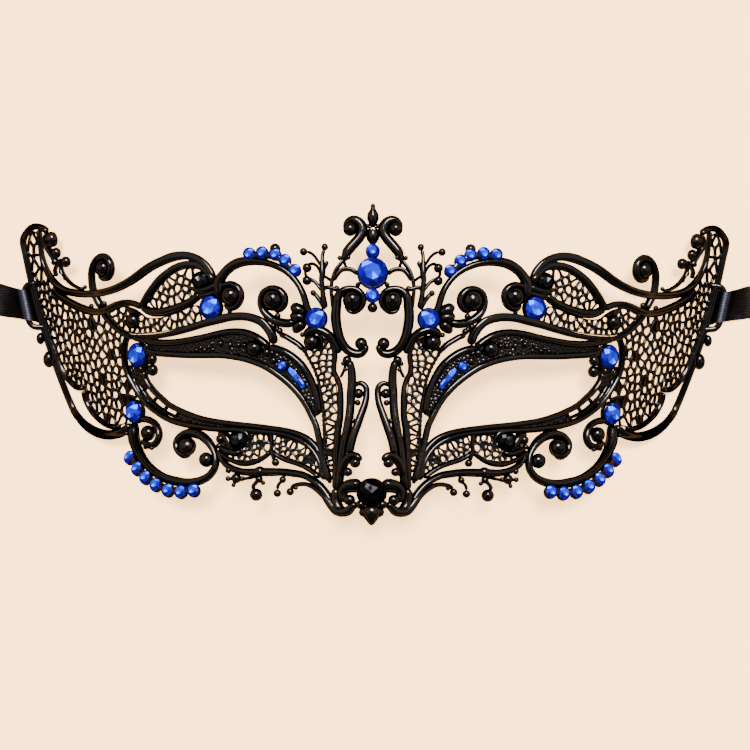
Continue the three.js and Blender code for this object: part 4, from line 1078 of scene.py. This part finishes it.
MIDDLE_JETS = [("crown_jet", 0, 33.5, 1.2), ("pendant_jet", 0, -31.7, 3.4), ("drop_jet", 0, -36.6, 1.5)]
# Turn of the side of each stone's table that gets a painted highlight: towards the bottom for the blue
# stones, the top for the black ones
BLUE_PAINTED_HIGHLIGHT = 1.3
JET_PAINTED_HIGHLIGHT = -1.57
# Beads on the outside of the rim: height, radius and how far out
RIM_BEADS = ((6.5, 1.15, 1.8), (1.3, 1.6, 1.4))


# Settings in the sidebar

class MaskSizes(bpy.types.PropertyGroup):
    wing_cell: FloatProperty(
        name="Wing cells", description="Spacing of the net's cells in the wings", default=0.002,
        min=0.001, max=0.005, unit="LENGTH",
    )
    strut: FloatProperty(
        name="Net strut", description="Half the width of the threads between two cells", default=0.00034,
        min=0.0001, max=0.0008, unit="LENGTH",
    )
    open_share: FloatProperty(
        name="Open cells", description="Share of the cells that are open", default=0.97,
        min=0.0, max=1.0, subtype="FACTOR",
    )
    band_squareness: FloatProperty(
        name="Band squareness", description="How flat the broad bands are on top", default=0.6,
        min=0.0, max=0.9, subtype="FACTOR",
    )
    seed: IntProperty(name="Seed", description="Picks another crackle and other facet tones", default=7)


def swatch(name, description, *default):
    """A colour in the sidebar"""
    return FloatVectorProperty(
        name=name, description=description, default=default, subtype="COLOR", min=0.0, max=1.0
    )


class MaskColours(bpy.types.PropertyGroup):
    lacquer: swatch("Lacquer", "Colour of the enamel", 0.0165, 0.0155, 0.016)
    lacquer_worn: swatch("Worn lacquer", "Colour of the duller places", 0.022, 0.019, 0.017)
    # Facet colours of the blue stones: painted shade, their own blue, a painted highlight and a painted
    # glint
    stone_painted_shade: swatch("Stone shade", "Darkest facets of the blue stones", 0.001, 0.0, 0.016)
    stone: swatch("Stone", "Main colour of the blue stones", 0.003, 0.0, 0.066)
    stone_painted_light: swatch("Bright facets", "Bright facets of the blue stones", 0.003, 0.008, 0.23)
    stone_painted_glint: swatch("Fire", "Brightest facets of the blue stones", 0.01, 0.085, 0.8)
    ribbon: swatch("Ribbon", "Colour of the satin", 0.0042, 0.0034, 0.0032)
    # Lighter colour of the worn places, also used for the painted sheen on the fold's crest
    ribbon_rubbed_and_sheen: swatch("Rubbed ribbon", "Lighter places of the satin", 0.05, 0.05, 0.075)
    floor: swatch("Floor", "Colour of the floor", 0.78, 0.475, 0.22)


# The parts

FRAME_NODE = "filigree_frame"
FINISHES = {
    "enamel": lacquer_finish, "blue_crystal": blue_finish, "black_crystal": black_finish,
    "satin_weave": satin_finish,
}


def finish_named(name):
    """The finish of that name, made when it is first asked for"""
    return bpy.data.materials.get(name) or FINISHES[name](bpy.context.scene.mask_colours)


def cast(shells, name, crease=40):
    """A lacquered piece of the casting, made of many shells"""
    joined(shells).piece(name, finish_named("enamel"), "black_lacquer", FRAME_NODE, crease)


def set_stone(shell, name, finish, slot):
    """A stone on its seat"""
    shell.piece("cut_" + name, finish_named(finish), slot, "stone_" + name, crease=5)


def set_pair(shell, name, finish, slot):
    """A stone on the right and its mirror image on the left"""
    set_stone(shell, name + "_right", finish, slot)
    set_stone(shell.mirrored(), name + "_left", finish, slot)


def set_stones(pairs, middles, finish, slot, painted_highlight_turn):
    """Makes stones that come in pairs, and those on the middle line"""
    seed = bpy.context.scene.mask_sizes.seed
    for number, (name, *place) in enumerate(pairs):
        chance = np.random.default_rng(seed + 31 * number)
        set_pair(stone_shell(*place, chance, painted_highlight_turn), name, finish, slot)
    for name, *place in middles:
        chance = np.random.default_rng(seed + 100 + round(place[1]))
        set_stone(stone_shell(*place, chance, painted_highlight_turn), name, finish, slot)


class MASK_OT_stage(bpy.types.Operator):
    """Make the floor, the soft studio light and the camera over the mask"""

    bl_idname = "mask.stage"
    bl_label = "Stage"

    def execute(self, context):
        scene = context.scene
        mesh = bpy.data.meshes.new("floor")
        corners = [(FLOOR_REACH * x, FLOOR_REACH * y, 0) for x, y in ((-1, -1), (1, -1), (1, 1), (-1, 1))]
        mesh.from_pydata(corners, [], [(0, 1, 2, 3)])
        mesh.materials.append(floor_finish(scene.mask_colours))
        floor = bpy.data.objects.new("floor", mesh)
        scene.collection.objects.link(floor)
        scene.world = bpy.data.worlds.new("studio")
        scene.world.use_nodes = True
        light = scene.world.node_tree.nodes["Background"].inputs
        light["Color"].default_value = WORLD_TINT
        light["Strength"].default_value = WORLD_STRENGTH
        for name, (turned, leaned), spread, strength, tint, casts, shines in LAMPS:
            data = bpy.data.lights.new(name, "SUN")
            data.angle = math.radians(spread)
            data.energy = strength
            data.color = tint
            data.use_shadow = casts
            lamp = bpy.data.objects.new(name, data)
            lamp.visible_glossy = shines
            lamp.rotation_euler = (math.radians(-leaned), 0.0, math.radians(-turned))
            lamp.location = AIM + lamp.rotation_euler.to_matrix() @ Vector((0.0, 0.0, 1.0))
            scene.collection.objects.link(lamp)
        data = bpy.data.cameras.new("camera")
        data.lens = LENS
        data.sensor_width = SENSOR_WIDTH
        scene.camera = bpy.data.objects.new("camera", data)
        back = Vector((math.sin(CAMERA_TURN), 0.0, math.cos(CAMERA_TURN)))
        scene.camera.location = AIM + back * CAMERA_DISTANCE
        scene.camera.rotation_euler = (0.0, CAMERA_TURN, CAMERA_ROLL)
        scene.collection.objects.link(scene.camera)
        return {"FINISHED"}


class MASK_OT_bars(bpy.types.Operator):
    """Make the bars, scrolls and ribbon rings of the filigree"""

    bl_idname = "mask.bars"
    bl_label = "Bars and scrolls"

    def execute(self, context):
        flatness = 1 - context.scene.mask_sizes.band_squareness
        half = [bar_shell(rows, flatness if flat else 1.0) for rows, flat in Pattern(*MOTIFS.values()).bars]
        middles = [bar_shell(rows) for rows, _ in Pattern(MIDDLE).bars]
        cast([both_sides(half + [ring_shell()]), *middles], "bars_and_scrolls", crease=50)
        return {"FINISHED"}


class MASK_OT_balls(bpy.types.Operator):
    """Make the ball ends, beads and petals of the filigree"""

    bl_idname = "mask.balls"
    bl_label = "Ball ends and beads"

    def execute(self, context):
        half = [ball_shell(*place) for place in Pattern(*MOTIFS.values()).balls]
        half += [rim_bead_shell(*place) for place in RIM_BEADS]
        middles = [ball_shell(*place) for place in Pattern(MIDDLE).balls]
        cast([both_sides(half), *middles], "ball_ends")
        return {"FINISHED"}


class MASK_OT_nets(bpy.types.Operator):
    """Make the crackle nets and the pebbled floors between the bars"""

    bl_idname = "mask.nets"
    bl_label = "Crackle nets"

    def execute(self, context):
        sizes = context.scene.mask_sizes
        scale = 1000 * sizes.wing_cell / DRAWN_CELL
        shells = []
        for number, (outline, spacing, share) in enumerate(Pattern(*MOTIFS.values()).nets):
            open_share = sizes.open_share if share is None else share
            seed = sizes.seed + number
            shells.append(net_shell(outline, spacing * scale, 1000 * sizes.strut, open_share, seed))
        cast([shell.mirrored() for shell in shells], "nets_left", crease=60)
        cast(shells, "nets_right", crease=60)
        return {"FINISHED"}


class MASK_OT_seats(bpy.types.Operator):
    """Make the seats that hold the stones"""

    bl_idname = "mask.seats"
    bl_label = "Seats"

    def execute(self, context):
        pairs = [bezel_shell(*place) for _, *place in STONES + JETS]
        seat = [(*place, BAR_STONE_WIDTH + 2 * BAR_SEAT_RIM) for place in BAR_STONE]
        pairs.append(bar_shell(seat, roundness=0.5, lift=-0.5))
        middles = [bezel_shell(*place) for _, *place in MIDDLE_STONES + MIDDLE_JETS]
        cast([both_sides(pairs), *middles], "stone_seats")
        return {"FINISHED"}


class MASK_OT_blue_stones(bpy.types.Operator):
    """Make the blue stones"""

    bl_idname = "mask.blue_stones"
    bl_label = "Blue stones"

    def execute(self, context):
        set_stones(STONES, MIDDLE_STONES, "blue_crystal", "blue_stone", BLUE_PAINTED_HIGHLIGHT)
        shell = bar_stone_shell(np.random.default_rng(context.scene.mask_sizes.seed))
        set_pair(shell, "slant_bar", "blue_crystal", "blue_stone")
        return {"FINISHED"}


class MASK_OT_black_stones(bpy.types.Operator):
    """Make the black stones"""

    bl_idname = "mask.black_stones"
    bl_label = "Black stones"

    def execute(self, context):
        set_stones(JETS, MIDDLE_JETS, "black_crystal", "black_stone", JET_PAINTED_HIGHLIGHT)
        return {"FINISHED"}


class MASK_OT_ribbons(bpy.types.Operator):
    """Make the two satin ribbons, rolled up past the rings"""

    bl_idname = "mask.ribbons"
    bl_label = "Ribbons"

    def execute(self, context):
        shell = ribbon_shell()
        length = lengths(ribbon_path())[-1] / 1000
        for side, half in (("right", shell), ("left", shell.mirrored())):
            satin = finish_named("satin_weave")
            ribbon = half.piece("satin_ribbon_" + side, satin, "black_satin", "ribbon_" + side)
        return {"FINISHED"}


PARTS = (
    MASK_OT_stage, MASK_OT_bars, MASK_OT_balls, MASK_OT_nets, MASK_OT_seats, MASK_OT_blue_stones,
    MASK_OT_black_stones, MASK_OT_ribbons,
)


class MASK_PT_parts(bpy.types.Panel):
    """Lists the parts of the mask and their settings"""

    bl_idname = "MASK_PT_parts"
    bl_label = "Masquerade mask"
    bl_space_type = "VIEW_3D"
    bl_region_type = "UI"
    bl_category = "Mask"

    def draw(self, context):
        for settings in (context.scene.mask_sizes, context.scene.mask_colours):
            for name in settings.__annotations__:
                self.layout.prop(settings, name)
        for part in PARTS:
            self.layout.operator(part.bl_idname)


CLASSES = (MaskSizes, MaskColours, *PARTS, MASK_PT_parts)


def register():
    for made in CLASSES:
        bpy.utils.register_class(made)
    bpy.types.Scene.mask_sizes = PointerProperty(type=MaskSizes)
    bpy.types.Scene.mask_colours = PointerProperty(type=MaskColours)


def unregister():
    del bpy.types.Scene.mask_colours
    del bpy.types.Scene.mask_sizes
    for made in reversed(CLASSES):
        bpy.utils.unregister_class(made)


def main():
    register()
    for part in PARTS:
        group, name = part.bl_idname.split(".")
        getattr(getattr(bpy.ops, group), name)()


if __name__ == "__main__":
    main()
